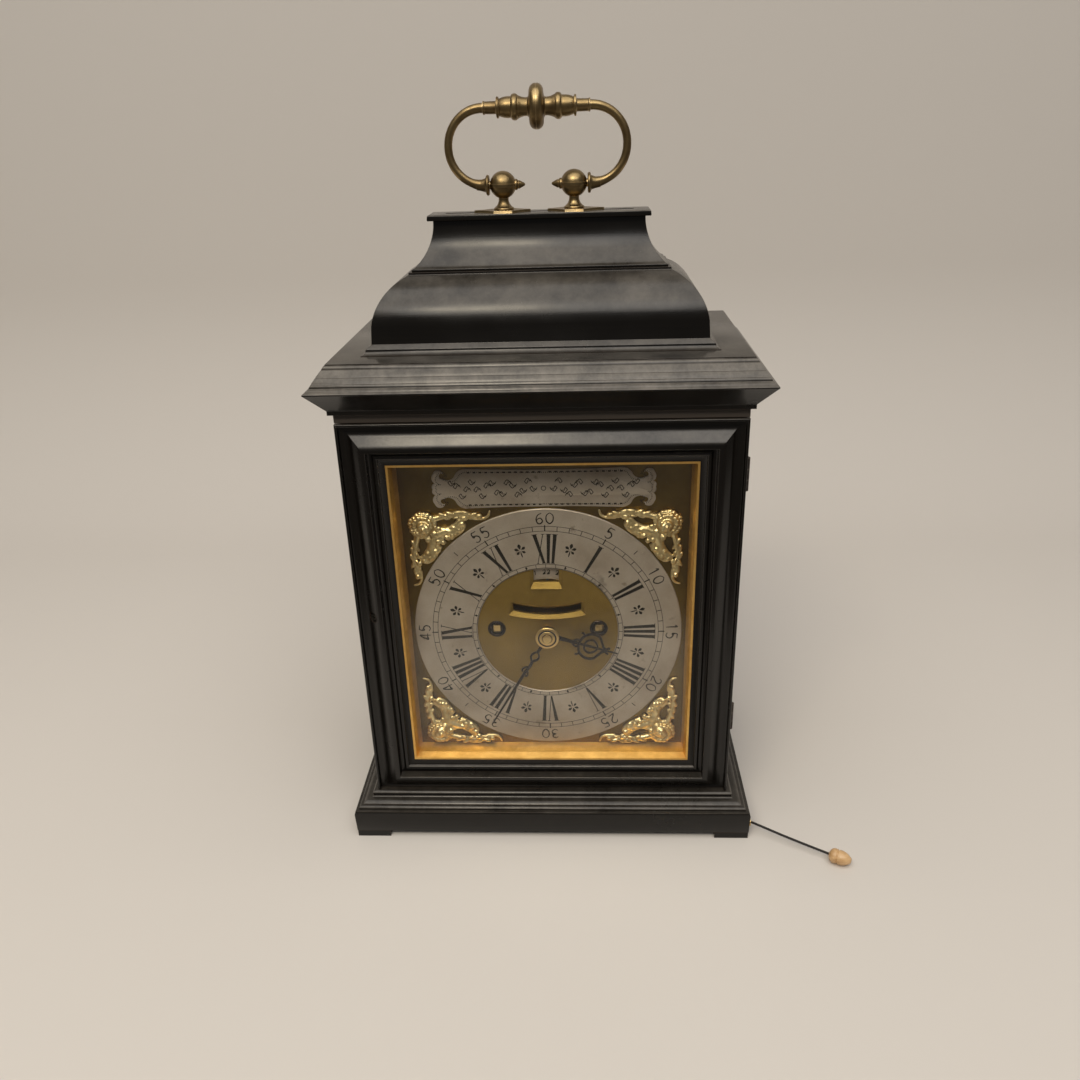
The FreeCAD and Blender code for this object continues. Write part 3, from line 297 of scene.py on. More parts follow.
# %% Node groups
def group(name, inputs, outputs):
    """An empty shader group with named sockets."""
    made = bpy.data.node_groups.new(name, "ShaderNodeTree")
    for label, kind, value in inputs:
        socket = made.interface.new_socket(label, in_out="INPUT", socket_type=kind)
        if value is not None:
            socket.default_value = value
    for label, kind in outputs:
        made.interface.new_socket(label, in_out="OUTPUT", socket_type=kind)
    return made, made.nodes.new("NodeGroupInput"), made.nodes.new("NodeGroupOutput")


def add(owner, kind, settings=(), **inputs):
    """A node with its settings and input values; an input may be another node's output."""
    made = owner.nodes.new(kind)
    for label, value in dict(settings).items():
        setattr(made, label, value)
    for label, value in inputs.items():
        key = int(label[1:]) if label[0] == "i" and label[1:].isdigit() else label.replace("_", " ")
        if isinstance(value, bpy.types.NodeSocket):
            owner.links.new(value, made.inputs[key])
        else:
            made.inputs[key].default_value = value
    return made


def times(owner, a, b):
    """Two values multiplied."""
    return add(owner, "ShaderNodeMath", {"operation": "MULTIPLY"}, i0=a, i1=b).outputs[0]


def own_place(owner):
    """A point's place in its object's own coordinates."""
    return add(owner, "ShaderNodeTexCoord").outputs["Object"]


def ramp(owner, value, stops):
    """A colour ramp with (position, grey or colour) stops."""
    made = owner.nodes.new("ShaderNodeValToRGB")
    owner.links.new(value, made.inputs[0])
    scale = made.color_ramp
    while len(scale.elements) < len(stops):
        scale.elements.new(0.5)
    for element, (place, tone) in zip(scale.elements, stops):
        element.position = place
        element.color = (*tone, 1) if isinstance(tone, tuple) else (tone, tone, tone, 1)
    return made.outputs[0]


NUMBER, VECTOR = "NodeSocketFloat", "NodeSocketVector"

rubbed, given, out = group("Rubbed edges", [("Radius", NUMBER, 0.0012), ("Reach", NUMBER, 0.25),
                                            ("Patch Size", NUMBER, 60.0)], [("Mask", NUMBER)])
bent = add(rubbed, "ShaderNodeBevel", {"samples": 6}, Radius=given.outputs["Radius"])
plain_normal = add(rubbed, "ShaderNodeNewGeometry")
facing = add(rubbed, "ShaderNodeVectorMath", {"operation": "DOT_PRODUCT"},
             i0=bent.outputs[0], i1=plain_normal.outputs["Normal"])
edge = add(rubbed, "ShaderNodeMath", {"operation": "SUBTRACT"}, i0=1.0, i1=facing.outputs["Value"])
place = own_place(rubbed)
patches = add(rubbed, "ShaderNodeTexNoise", Vector=place,
              Scale=given.outputs["Patch Size"], Detail=6.0, Roughness=0.7)
strong = times(rubbed, edge.outputs[0], patches.outputs[0])
limit = add(rubbed, "ShaderNodeMapRange", Value=strong, From_Min=0.01,
            From_Max=given.outputs["Reach"])
rubbed.links.new(limit.outputs[0], out.inputs["Mask"])

film, given, out = group("Film and marks", [("Patch Size", NUMBER, 25.0), ("Speck Size", NUMBER, 900.0)],
                         [("Film", NUMBER), ("Height", NUMBER)])
place = own_place(film)
broad = add(film, "ShaderNodeTexNoise", Vector=place,
            Scale=given.outputs["Patch Size"], Detail=8.0, Roughness=0.62)
specks = add(film, "ShaderNodeTexNoise", Vector=place,
             Scale=given.outputs["Speck Size"], Detail=3.0, Roughness=0.6)
spread = add(film, "ShaderNodeMapRange", Value=broad.outputs[0], From_Min=0.3, From_Max=0.7)
film.links.new(spread.outputs[0], out.inputs["Film"])
film.links.new(specks.outputs[0], out.inputs["Height"])

grain, given, out = group("Long grain", [("Along", VECTOR, (1.0, 1.0, 1.0)), ("Scale", NUMBER, 300.0)],
                          [("Grain", NUMBER)])
place = own_place(grain)
drawn = add(grain, "ShaderNodeVectorMath", {"operation": "MULTIPLY"},
            i0=place, i1=given.outputs["Along"])
lines = add(grain, "ShaderNodeTexNoise", Vector=drawn.outputs[0], Scale=given.outputs["Scale"],
            Detail=5.0, Roughness=0.65, Distortion=0.2)
grain.links.new(lines.outputs[0], out.inputs["Grain"])

dust, given, out = group("Settled dust", [("Amount", NUMBER, 0.3), ("Patch Size", NUMBER, 45.0)],
                         [("Mask", NUMBER)])
facing = add(dust, "ShaderNodeNewGeometry")
parts = add(dust, "ShaderNodeSeparateXYZ", Vector=facing.outputs["Normal"])
lying = ramp(dust, parts.outputs["Z"], [(0.35, 0.0), (0.58, 1.0), (0.85, 0.8), (0.97, 0.35)])
place = own_place(dust)
blown = add(dust, "ShaderNodeTexNoise", Vector=place, Scale=given.outputs["Patch Size"],
            Detail=9.0, Roughness=0.7)
patchy = add(dust, "ShaderNodeMapRange", Value=blown.outputs[0], From_Min=0.32, From_Max=0.64, To_Min=0.25)
cover = times(dust, lying, patchy.outputs[0])
dust.links.new(times(dust, cover, given.outputs["Amount"]), out.inputs["Mask"])
print("node groups", [g.name for g in bpy.data.node_groups])


# %% Building a material
def finish_of(name, colour, metallic=0.0, roughness=0.4, **sockets):
    """A material whose unvarying values sit on the shader's own sockets."""
    made = bpy.data.materials.new(name)
    made.use_nodes = True
    tree = made.node_tree
    shader = tree.nodes["Principled BSDF"]
    shader.inputs["Base Color"].default_value = (*colour, 1)
    shader.inputs["Metallic"].default_value = metallic
    shader.inputs["Roughness"].default_value = roughness
    for label, value in sockets.items():
        shader.inputs[label.replace("_", " ")].default_value = value
    made.diffuse_color = (*colour, 1)
    return made, tree, shader


def use(tree, shared, **inputs):
    """A shared effect placed in a material."""
    made = tree.nodes.new("ShaderNodeGroup")
    made.node_tree = shared
    for label, value in inputs.items():
        made.inputs[label.replace("_", " ")].default_value = value
    return made


def blend_colour(tree, factor, a, b):
    """Two colours mixed by a mask; either may be a socket."""
    made = tree.nodes.new("ShaderNodeMix")
    made.data_type = "RGBA"
    tree.links.new(factor, made.inputs["Factor"])
    for key, value in ((6, a), (7, b)):
        if isinstance(value, bpy.types.NodeSocket):
            tree.links.new(value, made.inputs[key])
        else:
            made.inputs[key].default_value = (*value, 1)
    return made.outputs[2]


def spread_of(tree, value, low, high):
    """A 0 to 1 value spread over a range."""
    return add(tree, "ShaderNodeMapRange", Value=value, To_Min=low, To_Max=high).outputs[0]


def bumped(tree, shader, height, distance, strength):
    """The shader's normal, disturbed by a height."""
    made = add(tree, "ShaderNodeBump", Strength=strength, Distance=distance, Height=height)
    tree.links.new(made.outputs[0], shader.inputs["Normal"])


# %% [markdown]
# ## Ebonised wood
# The case is pearwood stained black and polished to look like ebony. Three hundred
# years of hands and dusters leave it very dark brown, not pure black: corners show the
# red wood under the stain, and the polish is duller where dirt has settled. The colour
# is close to black, so nearly all that shows is what the polish mirrors.

# %% Ebonised wood
def ebonised(name, along, dark=(0.0026, 0.0021, 0.0016), light=(0.0070, 0.0056, 0.0042),
             sheen=(0.15, 0.30), dusty=0.35):
    """Black stain that grains from dark to light, worn brown at edges and dusty on slopes."""
    made, tree, shader = finish_of(name, dark, roughness=sheen[0], Specular_IOR_Level=0.39)
    wear = use(tree, rubbed, Radius=0.0008, Reach=0.20, Patch_Size=55.0)
    dirt = use(tree, film, Patch_Size=16.0, Speck_Size=1400.0)
    fibres = use(tree, grain, Along=along, Scale=700.0)
    settled = use(tree, dust, Amount=dusty)
    stain = blend_colour(tree, fibres.outputs["Grain"], dark, light)
    shown = blend_colour(tree, wear.outputs["Mask"], stain, (0.050, 0.027, 0.016))
    shown = blend_colour(tree, settled.outputs["Mask"], shown, (0.28, 0.25, 0.21))
    tree.links.new(shown, shader.inputs["Base Color"])
    tree.links.new(spread_of(tree, dirt.outputs["Film"], *sheen), shader.inputs["Roughness"])
    bumped(tree, shader, fibres.outputs["Grain"], 0.00005, 0.35)
    return made


# The frieze copy is lighter grey-brown and rougher: painted light on an upright face, with duller polish.
WOOD = {"x": ebonised("ebonised_wood_along_x", (0.03, 1.0, 1.0)),
        "z": ebonised("ebonised_wood_upright", (1.0, 1.0, 0.03)),
        "top": ebonised("ebonised_wood_dusty", (0.03, 1.0, 1.0), dusty=0.62),
        "frieze_painted_light": ebonised("ebonised_wood_dull_painted_light", (0.03, 1.0, 1.0), (0.040, 0.033, 0.027),
                           (0.085, 0.070, 0.058), (0.45, 0.60))}

oak, tree, shader = finish_of("waxed_oak", (0.27, 0.18, 0.10), roughness=0.55)
fibres = use(tree, grain, Along=(0.05, 1.0, 1.0), Scale=180.0)
tree.links.new(ramp(tree, fibres.outputs["Grain"], [(0.35, (0.16, 0.10, 0.055)),
                                                    (0.65, (0.33, 0.22, 0.125))]),
               shader.inputs["Base Color"])
bumped(tree, shader, fibres.outputs["Grain"], 0.0002, 0.4)

# %% [markdown]
# ## Brass, silver and steel
# All the metals are one recipe with different values: a metallic base whose colour
# drifts towards tarnish in patches, a sheen that is duller where the film is thick,
# and a very fine bump from polishing or from the matting punch.

# %% Metals
def metal(name, bright, dull, sheen, patch, depth=0.00003, wear=None):
    """A metal that dulls in patches and, where wear is given, shines at its edges."""
    made, tree, shader = finish_of(name, bright, metallic=1.0, roughness=sheen[0])
    dirt = use(tree, film, Patch_Size=patch, Speck_Size=1500.0)
    tone = blend_colour(tree, dirt.outputs["Film"], bright, dull)
    if wear:
        edges = use(tree, rubbed, Radius=0.0009, Reach=0.14, Patch_Size=90.0)
        tone = blend_colour(tree, edges.outputs["Mask"], tone, wear)
    tree.links.new(tone, shader.inputs["Base Color"])
    tree.links.new(spread_of(tree, dirt.outputs["Film"], *sheen), shader.inputs["Roughness"])
    bumped(tree, shader, dirt.outputs["Height"], depth, 0.6)
    return made


GILT = metal("gilt_brass", (0.86, 0.56, 0.19), (0.62, 0.36, 0.10), (0.26, 0.42), patch=14.0)
CAST_GILT = metal("cast_gilt", (0.86, 0.69, 0.37), (0.40, 0.29, 0.13), (0.28, 0.50), patch=140.0,
                  wear=(1.0, 0.88, 0.60))
REVEAL = metal("reveal_gilt", (0.94, 0.61, 0.20), (0.70, 0.40, 0.11), (0.40, 0.55), patch=90.0)
OLD_BRASS = metal("handle_brass", (0.34, 0.25, 0.12), (0.13, 0.085, 0.040), (0.28, 0.48), patch=70.0,
                  depth=0.00006, wear=(0.66, 0.50, 0.28))
CLOCK_BRASS = metal("movement_brass", (0.78, 0.56, 0.25), (0.56, 0.38, 0.15), (0.24, 0.40), patch=22.0)
BELL_METAL = metal("bell_metal", (0.66, 0.50, 0.28), (0.40, 0.28, 0.14), (0.30, 0.48), patch=26.0)
STEEL = metal("arbor_steel", (0.56, 0.55, 0.53), (0.30, 0.27, 0.24), (0.26, 0.46), patch=60.0)
BLUED = metal("blued_steel", (0.013, 0.012, 0.014), (0.030, 0.020, 0.015), (0.26, 0.42), patch=90.0,
              wear=(0.075, 0.055, 0.042))
IRON = metal("hinge_iron", (0.085, 0.075, 0.068), (0.045, 0.035, 0.030), (0.40, 0.62), patch=90.0,
             wear=(0.24, 0.20, 0.17))

# %% [markdown]
# ## The silvered ring and the matted dial
# Silvering is a chalky layer of silver rubbed on brass, then lacquered. It is pale
# grey, hardly mirror-like, and stains brown where the lacquer lifts. The dial plate
# behind it is polished brass at the corners, gone olive, and evenly pricked with a
# matting punch inside the ring, so its centre scatters light like sand.

# %% Silver and dial brass
DIAL_CENTRE = Vector((0, 0, 133.4)) * MM

SILVER, tree, shader = finish_of("silvered_brass", (0.38, 0.34, 0.29), metallic=0.55, roughness=0.48)
dirt = use(tree, film, Patch_Size=30.0, Speck_Size=2600.0)
spots = use(tree, film, Patch_Size=95.0, Speck_Size=2600.0)
clean = blend_colour(tree, dirt.outputs["Film"], (0.41, 0.345, 0.285), (0.27, 0.215, 0.165))
stained = blend_colour(tree, ramp(tree, spots.outputs["Film"], [(0.80, 0.0), (1.0, 0.75)]), clean,
                       (0.16, 0.12, 0.085))
place = own_place(tree)
for x, z, wide, high in ((33, 162, 9, 13), (6, 95.5, 24, 7)):     # two old damp stains
    seat = add(tree, "ShaderNodeMapping", {"vector_type": "TEXTURE"}, Vector=place,
               Location=(x * MM, -0.0432, z * MM), Scale=(wide * MM, 0.01, high * MM))
    blot = add(tree, "ShaderNodeTexGradient", {"gradient_type": "SPHERICAL"}, Vector=seat.outputs[0])
    ragged = times(tree, blot.outputs[1], spots.outputs["Film"])
    stained = blend_colour(tree, ramp(tree, ragged, [(0.12, 0.0), (0.34, 0.8)]), stained,
                           (0.075, 0.055, 0.042))
tree.links.new(stained, shader.inputs["Base Color"])
tree.links.new(spread_of(tree, dirt.outputs["Film"], 0.42, 0.58), shader.inputs["Roughness"])
bumped(tree, shader, dirt.outputs["Height"], 0.00002, 0.5)

DIAL_BRASS, tree, shader = finish_of("dial_brass", (0.55, 0.39, 0.12), metallic=1.0, roughness=0.45)
place = own_place(tree)
centred = add(tree, "ShaderNodeMapping", Vector=place, Location=tuple(-DIAL_CENTRE))
flat = add(tree, "ShaderNodeVectorMath", {"operation": "MULTIPLY"}, i0=centred.outputs[0],
           i1=(1.0, 0.0, 1.0))
reach = add(tree, "ShaderNodeVectorMath", {"operation": "LENGTH"}, i0=flat.outputs[0])
inside = add(tree, "ShaderNodeMath", {"operation": "LESS_THAN"}, i0=reach.outputs["Value"], i1=0.045)
dirt = use(tree, film, Patch_Size=24.0, Speck_Size=3000.0)
matted = blend_colour(tree, dirt.outputs["Film"], (0.34, 0.225, 0.062), (0.22, 0.14, 0.036))
corners = blend_colour(tree, dirt.outputs["Film"], (0.22, 0.15, 0.045), (0.12, 0.075, 0.022))
tree.links.new(blend_colour(tree, inside.outputs[0], corners, matted), shader.inputs["Base Color"])
tree.links.new(spread_of(tree, inside.outputs[0], 0.36, 0.52), shader.inputs["Roughness"])
pricks = add(tree, "ShaderNodeTexVoronoi", Vector=centred.outputs[0], Scale=2200.0)
bumped(tree, shader, times(tree, pricks.outputs["Distance"], inside.outputs[0]), 0.00018, 0.8)

# %% Glass, ink, cord and acorn
GLASS, tree, shader = finish_of("clear_glass", (0.95, 0.965, 0.95), roughness=0.01,
                                Transmission_Weight=1.0, IOR=1.45)
path = add(tree, "ShaderNodeLightPath")
through = add(tree, "ShaderNodeBsdfTransparent", Color=(0.95, 0.965, 0.95, 1.0))
pane = add(tree, "ShaderNodeMixShader", i0=path.outputs["Is Shadow Ray"], i1=shader.outputs[0],
           i2=through.outputs[0])
tree.links.new(pane.outputs[0], tree.nodes["Material Output"].inputs["Surface"])

INK, tree, shader = finish_of("engraver_wax", (0.006, 0.005, 0.005), roughness=0.6,
                              Specular_IOR_Level=0.12)
dirt = use(tree, film, Patch_Size=80.0, Speck_Size=2000.0)
tree.links.new(blend_colour(tree, dirt.outputs["Film"], (0.005, 0.004, 0.004), (0.022, 0.018, 0.015)),
               shader.inputs["Base Color"])

CORD, tree, shader = finish_of("black_cord", (0.016, 0.014, 0.013), roughness=0.8)
place = own_place(tree)
lay = add(tree, "ShaderNodeTexWave", {"bands_direction": "DIAGONAL"}, Vector=place,
          Scale=620.0, Distortion=1.5)
tree.links.new(ramp(tree, lay.outputs[1], [(0.2, (0.006, 0.006, 0.006)), (0.8, (0.035, 0.030, 0.027))]),
               shader.inputs["Base Color"])
bumped(tree, shader, lay.outputs[1], 0.0002, 0.8)

ACORN_WOOD, tree, shader = finish_of("acorn_wood", (0.62, 0.38, 0.17), roughness=0.42, Coat_Weight=0.2)
fibres = use(tree, grain, Along=(0.3, 0.3, 1.0), Scale=420.0)
tree.links.new(ramp(tree, fibres.outputs["Grain"], [(0.3, (0.42, 0.23, 0.09)), (0.7, (0.74, 0.50, 0.26))]),
               shader.inputs["Base Color"])
bumped(tree, shader, fibres.outputs["Grain"], 0.0001, 0.4)
print("materials", len(bpy.data.materials))

# %% [markdown]
# ## Finish on the frame's own pieces
# Boards, plates, wheels and hinges already have the right shape in the frame, so they
# only need their finish. The record says which material slot each one belongs to.

# %% Give every frame piece its finish
FINISHES = {"ebonised_wood": WOOD["x"], "carcase_oak": oak, "gilt_brass": GILT, "dial_brass": DIAL_BRASS,
            "silvered_brass": SILVER, "handle_brass": OLD_BRASS, "movement_brass": CLOCK_BRASS,
            "bell_metal": BELL_METAL, "blued_steel": BLUED, "arbor_steel": STEEL, "hinge_iron": IRON,
            "clear_glass": GLASS, "black_cord": CORD, "acorn_wood": ACORN_WOOD}
for part in frame["record"]["subparts"]:
    dressed = NODES[part["node"]]
    dressed.data.materials.clear()
    dressed.data.materials.append(FINISHES[part["material_slot"]])
for upright in ("side_left", "side_right", "back_door"):
    NODES[upright].data.materials[0] = WOOD["z"]
# The top board takes the frieze copy, whose lighter colour is painted light.
NODES["top_board"].data.materials[0] = WOOD["frieze_painted_light"]
NODES["dial_mask"].data.materials[0] = NODES["sight_slip"].data.materials[0] = REVEAL

# %% [markdown]
# ## The case mouldings
# A joiner makes a moulding by planing one profile along a board and mitring it at the
# corners. The profiles below are the same real sizes as the frame's; here their arcs
# get many more facets and every arris is softened by a quarter of a millimetre, because
# a thin bright line along an edge is what makes black polished wood readable.

# %% Case mouldings
CASE_X, CASE_Y = 112.0, 62.0
FOOT_TOP, PLINTH_TOP, PLINTH_OUT, STEPS_TOP, FLOOR_TOP = 4.2, 19.7, 14.2, 27.5, 23.6


def case_moulding(name, steps, bevel, *nodes, wood="x", strips=()):
    """A moulding round the case: steps are (stand-out from the sides, height)."""
    bm = bmesh.new()
    carried(bm, outline(steps), lambda sx, sy, out, z: (sx * (CASE_X + out), sy * (CASE_Y + out), z))
    for low, high in strips:
        block(bm, low, high)
    made = piece(name, bm, WOOD[wood], "case", nodes, bevel=bevel)
    print(name, len(made.data.polygons), "faces")
    return made


case_moulding("plinth_board", [(-58, FOOT_TOP), (PLINTH_OUT - 0.5, FOOT_TOP), (PLINTH_OUT, 17.2),
                               (PLINTH_OUT - 0.7, PLINTH_TOP), (-58, PLINTH_TOP)], 0.3, "plinth")
case_moulding("base_steps", [(0, PLINTH_TOP), (11.5, PLINTH_TOP), (11.5, 20.4), (11.0, 21.2, 9.3, 21.7),
                             (8.9, 21.7), (8.9, 22.0), (7.9, 22.9, 4.2, 23.6), (3.9, 23.6),
                             (3.2, 24.9, 3.6, 26.2), (2.9, 27.1, 0.9, STEPS_TOP), (0, STEPS_TOP)],
              0.12, "base_moulding",
              strips=[((-CASE_X, -CASE_Y, FLOOR_TOP), (CASE_X, -52.6, STEPS_TOP)),
                      ((-101.9, 50.6, FLOOR_TOP), (101.9, CASE_Y, STEPS_TOP))])
case_moulding("cornice_moulding",
              [(-55, 279.5), (2.6, 279.5), (2.6, 281.9), (11.7, 292.5), (12.1, 292.9), (12.1, 293.5),
               (10.6, 294.4), (10.4, 294.9), (9.1, 295.8), (8.8, 296.0), (8.7, 296.5), (8.0, 297.7),
               (7.7, 297.8), (7.4, 298.5), (5.8, 300.7), (5.5, 300.8), (5.2, 301.5), (2.9, 304.3),
               (2.6, 304.4), (2.5, 304.9), (1.7, 306.1), (1.0, 306.3), (0.9, 307.0), (-55, 307.0)],
              0.12, "cornice", wood="top")
case_moulding("caddy_lower_curve",
              [(-14.8, 307.0), (-14.8, 307.4), (-16.6, 308.1, -17.4, 309.6), (-17.5, 310.2), (-18.0, 310.8),
               (-20.3, 312.3), (-20.9, 321.6), (-26.2, 334.8, -40.2, 345.8), (-40.2, 347.0), (-58, 347.0),
               (-58, 307.0)], 0.25, "caddy_ovolo")
case_moulding("caddy_upper_curve",
              [(-60, 347.0), (-41.8, 347.0), (-41.8, 348.3), (-43.4, 348.9), (-50.2, 357.6, -53.8, 371.0),
               (-53.8, 372.5), (-60, 372.5)], 0.22, "caddy_cavetto")
case_moulding("caddy_top_slab", [(-60, 372.5), (-51.0, 372.5), (-50.8, 373.0), (-51.0, 375.1),
                                 (-51.6, 375.5), (-60, 375.5)], 0.15, "caddy_cap", wood="top")

# %% [markdown]
# ## The front door
# The door is one mitred frame. From the outside in its profile has a small rounded
# fillet, a broad ogee that rises to a crest and catches the light, a deep step and a
# small bead beside the gilt slip. The keyhole is a real hole through the left stile. It
# is cut with a boolean after the frame is closed, and so is the bed of the lock behind
# it.

# %% Front door frame
DOOR_X, DOOR_LOW, DOOR_HIGH = 112.0, 24.1, 274.1
DOOR_MID, DOOR_HALF = (DOOR_LOW + DOOR_HIGH) / 2, (DOOR_HIGH - DOOR_LOW) / 2
DOOR_CUT = 28.0
DOOR_PROFILE = [(0, -52.9), (0, -63.0), (0.8, -64.1, 1.6, -63.0), (1.6, -60.9), (2.3, -60.5), (3.5, -60.4),
                (5.7, -60.85, 8.0, -62.3), (11.7, -65.25), (13.7, -66.4, 15.7, -66.9),
                (16.0, -66.7, 16.1, -66.1), (16.2, -61.2), (17.6, -60.9), (18.4, -60.9), (18.5, -61.5),
                (19.9, -62.6, 21.4, -61.6), (21.5, -61.0), (25.0, -60.2), (25.0, -54.8), (22.0, -54.8),
                (22.0, -52.9)]


def upright_frame(name, steps, half_x, mid, half_z, material, body, nodes, bevel=0.2):
    """A profile of (inward, y) carried round an upright rectangle."""
    bm = bmesh.new()
    carried(bm, outline(steps, 0.5), lambda sx, sz, inward, y: (
        sx * (half_x - inward), y, mid + sz * (half_z - inward)))
    return piece(name, bm, material, body, nodes, bevel=bevel)


def cut_away(made, boxes=(), rods=()):
    """Cuts boxes (low corner, high corner) and Y rods (x, z, radius, y0, y1) out of a piece."""
    bm = bmesh.new()
    for low, high in boxes:
        block(bm, low, high)
    for x, z, r, y0, y1 in rods:
        upright = Matrix.Translation((x, (y0 + y1) / 2, z)) @ Matrix.Rotation(math.pi / 2, 4, "X")
        bmesh.ops.create_cone(bm, cap_ends=True, segments=32, radius1=r, radius2=r, depth=y1 - y0,
                              matrix=upright)
    bmesh.ops.scale(bm, vec=(MM, MM, MM), verts=bm.verts)
    mesh = bpy.data.meshes.new("cutter")
    bm.to_mesh(mesh)
    bm.free()
    cutter = bpy.data.objects.new("cutter", mesh)
    bpy.context.scene.collection.objects.link(cutter)
    cutting = made.modifiers.new("cut", "BOOLEAN")
    cutting.operation, cutting.solver = "DIFFERENCE", "EXACT"
    cutting.object, cutting.use_self = cutter, True
    settle(made)
    bpy.data.objects.remove(cutter)
    shade(made.data)


door = upright_frame("front_door_frame", DOOR_PROFILE, DOOR_X, DOOR_MID, DOOR_HALF, WOOD["x"],
                     "front_door", ("front_door",))
KEYHOLE_X, KEYHOLE_R, KEYHOLE_ENDS = -102.2, 2.3, (154.05, 155.95)
cut_away(door, boxes=[((-109.2, -57.7, 138.8), (-96.3, -52, 165.2)), ((-115, -70, 20), (115, -50, DOOR_CUT)),
                      ((KEYHOLE_X - KEYHOLE_R, -70, KEYHOLE_ENDS[0]),
                       (KEYHOLE_X + KEYHOLE_R, -57, KEYHOLE_ENDS[1]))],
         rods=[(KEYHOLE_X, z, KEYHOLE_R, -70, -57) for z in KEYHOLE_ENDS])

# %% [markdown]
# ## The carrying handle
# The handle is cast brass, turned and bent: two arms curl out of the pivot balls, rise
# and meet a turned grip with a knop between two balusters. The arms are tubes along a
# smooth path and everything else is spun. Its pivots sit inside the two balls, so it
# can fall to the front or to the back.

# %% Carrying handle and its mounts
HANDLE_Z, POST_X, CAP_TOP = 389.5, 19.4, 375.5
ARM_X, RISE, BEND_R, ROD_R = 48.2, 38.5, 19.0, 2.2


def tube(bm, line, radii, parts=24):
    """A round tube along a line in the XZ plane, closed at both ends."""
    rings = []
    for i, (x, z) in enumerate(line):
        before, after = line[max(i - 1, 0)], line[min(i + 1, len(line) - 1)]
        along = Vector((after[0] - before[0], 0, after[1] - before[1])).normalized()
        across = Vector((0, 1, 0)).cross(along)
        turns = [2 * math.pi * k / parts for k in range(parts)]
        rings.append([bm.verts.new(Vector((x, 0, z)) + radii[i] * (
            math.cos(a) * across + math.sin(a) * Vector((0, 1, 0)))) for a in turns])
    for low, high in zip(rings, rings[1:]):
        for k in range(parts):
            n = (k + 1) % parts
            bm.faces.new((low[k], low[n], high[n], high[k]))
    bm.faces.new(rings[0])
    bm.faces.new(rings[-1][::-1])


def handle_arm(sign):
    """Path and radii of one bent arm, from its pivot to the grip."""
    inner, slant = ARM_X - BEND_R, BEND_R * (1 - math.sqrt(0.5))
    path = outline([(POST_X + 9.0, 0), (inner, 0), (ARM_X - slant, slant, ARM_X, BEND_R),
                    (ARM_X, RISE - BEND_R), (ARM_X - slant, RISE - slant, inner, RISE), (24, RISE)])
    last = len(path) - 1
    radii = [ROD_R + 1.3 * max(0.0, 1 - i / (last * 0.16)) ** 1.5 + 0.35 * max(0.0, i / last - 0.75) * 4
             for i in range(len(path))]
    return [(sign * x, HANDLE_Z + z) for x, z in path], radii


GRIP = [(0, 0), (11.2, 0), (11.3, 0.7), (11.2, 1.2), (10.3, 2.7, 7.6, 3.8), (5.8, 4.0), (5.0, 4.3),
        (4.6, 4.8), (4.55, 5.4), (4.8, 7.4, 5.6, 9.4), (5.7, 9.8), (6.1, 10.1), (6.6, 11.7, 6.0, 13.2),
        (5.4, 13.5), (5.3, 13.9), (5.25, 16.2, 4.5, 19.2), (4.3, 19.6), (4.5, 19.9), (5.2, 20.1),
        (5.35, 20.7, 5.2, 21.2), (3.5, 21.3), (3.2, 21.7), (3.1, 27.4), (3.4, 27.8), (3.4, 28.4),
        (2.6, 28.7), (0, 28.7)]
COLLAR = [(0, 0), (4.8, 0), (5.4, 0.85, 4.8, 1.7), (3.9, 1.9), (3.6, 2.4), (3.0, 4.4, 2.5, 7.0), (0, 7.0)]
PIVOT = [(0, 0), (2.2, 0), (2.2, 7.6), (0, 7.6)]
bm = bmesh.new()
for sign in (-1, 1):
    path, radii = handle_arm(sign)
    tube(bm, path, radii)
    spun(bm, outline(GRIP, 0.5), (0, 0, HANDLE_Z + RISE), (sign, 0, 0), 48)
    spun(bm, outline(COLLAR, 0.4), (sign * (POST_X + 7.5), 0, HANDLE_Z), (sign, 0, 0), 40)
    spun(bm, PIVOT, (sign * (POST_X + 2.2), 0, HANDLE_Z), (sign, 0, 0), 32)
piece("bail_handle", bm, OLD_BRASS, "handle", ("carrying_handle",))

ROSE = [(4.6, 0), (10.8, -5.2, 14.4, -9.5), (19.4, -8.9, 24.4, -9.5), (28.4, -5.2, 36.0, 0),
        (28.4, 5.2, 24.4, 9.5), (19.4, 8.9, 14.4, 9.5), (10.8, 5.2, 4.6, 0)]
POST = [(0, 1.2), (5.3, 1.2), (5.6, 1.8, 5.1, 2.4), (3.6, 3.8, 2.75, 6.4), (2.75, 7.2), (3.0, 8.4), (0, 8.4)]
TIP = [(0, 0), (2.6, 0), (2.9, 0.8, 2.6, 1.6), (2.1, 1.9), (2.3, 2.3), (1.4, 4.2, 0.6, 5.6), (0, 5.8)]
BALL, ROSE_T = 7.2, 1.2
bm = bmesh.new()
for sign in (-1, 1):
    points = [(sign * x, y) for x, y in outline(ROSE, 0.7)]
    bottom = [bm.verts.new((x, y, CAP_TOP)) for x, y in points]
    top = [bm.verts.new((x * 0.985 + sign * 0.29, y * 0.95, CAP_TOP + ROSE_T)) for x, y in points]
    bm.faces.new(bottom)
    bm.faces.new(top[::-1])
    for i in range(len(points)):
        j = (i + 1) % len(points)
        bm.faces.new((bottom[i], bottom[j], top[j], top[i]))
    spun(bm, outline(POST, 0.4), (sign * POST_X, 0, CAP_TOP), (0, 0, 1), 40)
    slope = [(BALL * math.cos(a), BALL * math.sin(a)) for a in map(math.radians, (-48, -6.5, 6.5, 48))]
    lobes = [(0, -BALL), (*slope[0], *slope[1]), (7.4, -0.7), (7.45, 0.0, 7.4, 0.7), slope[2],
             (*slope[3], 0, BALL)]
    spun(bm, outline(lobes, 0.5), (sign * POST_X, 0, HANDLE_Z), (0, 0, 1), 64)
    spun(bm, outline(TIP, 0.4), (sign * (POST_X - 6.4), 0, HANDLE_Z), (-sign, 0, 0), 32)
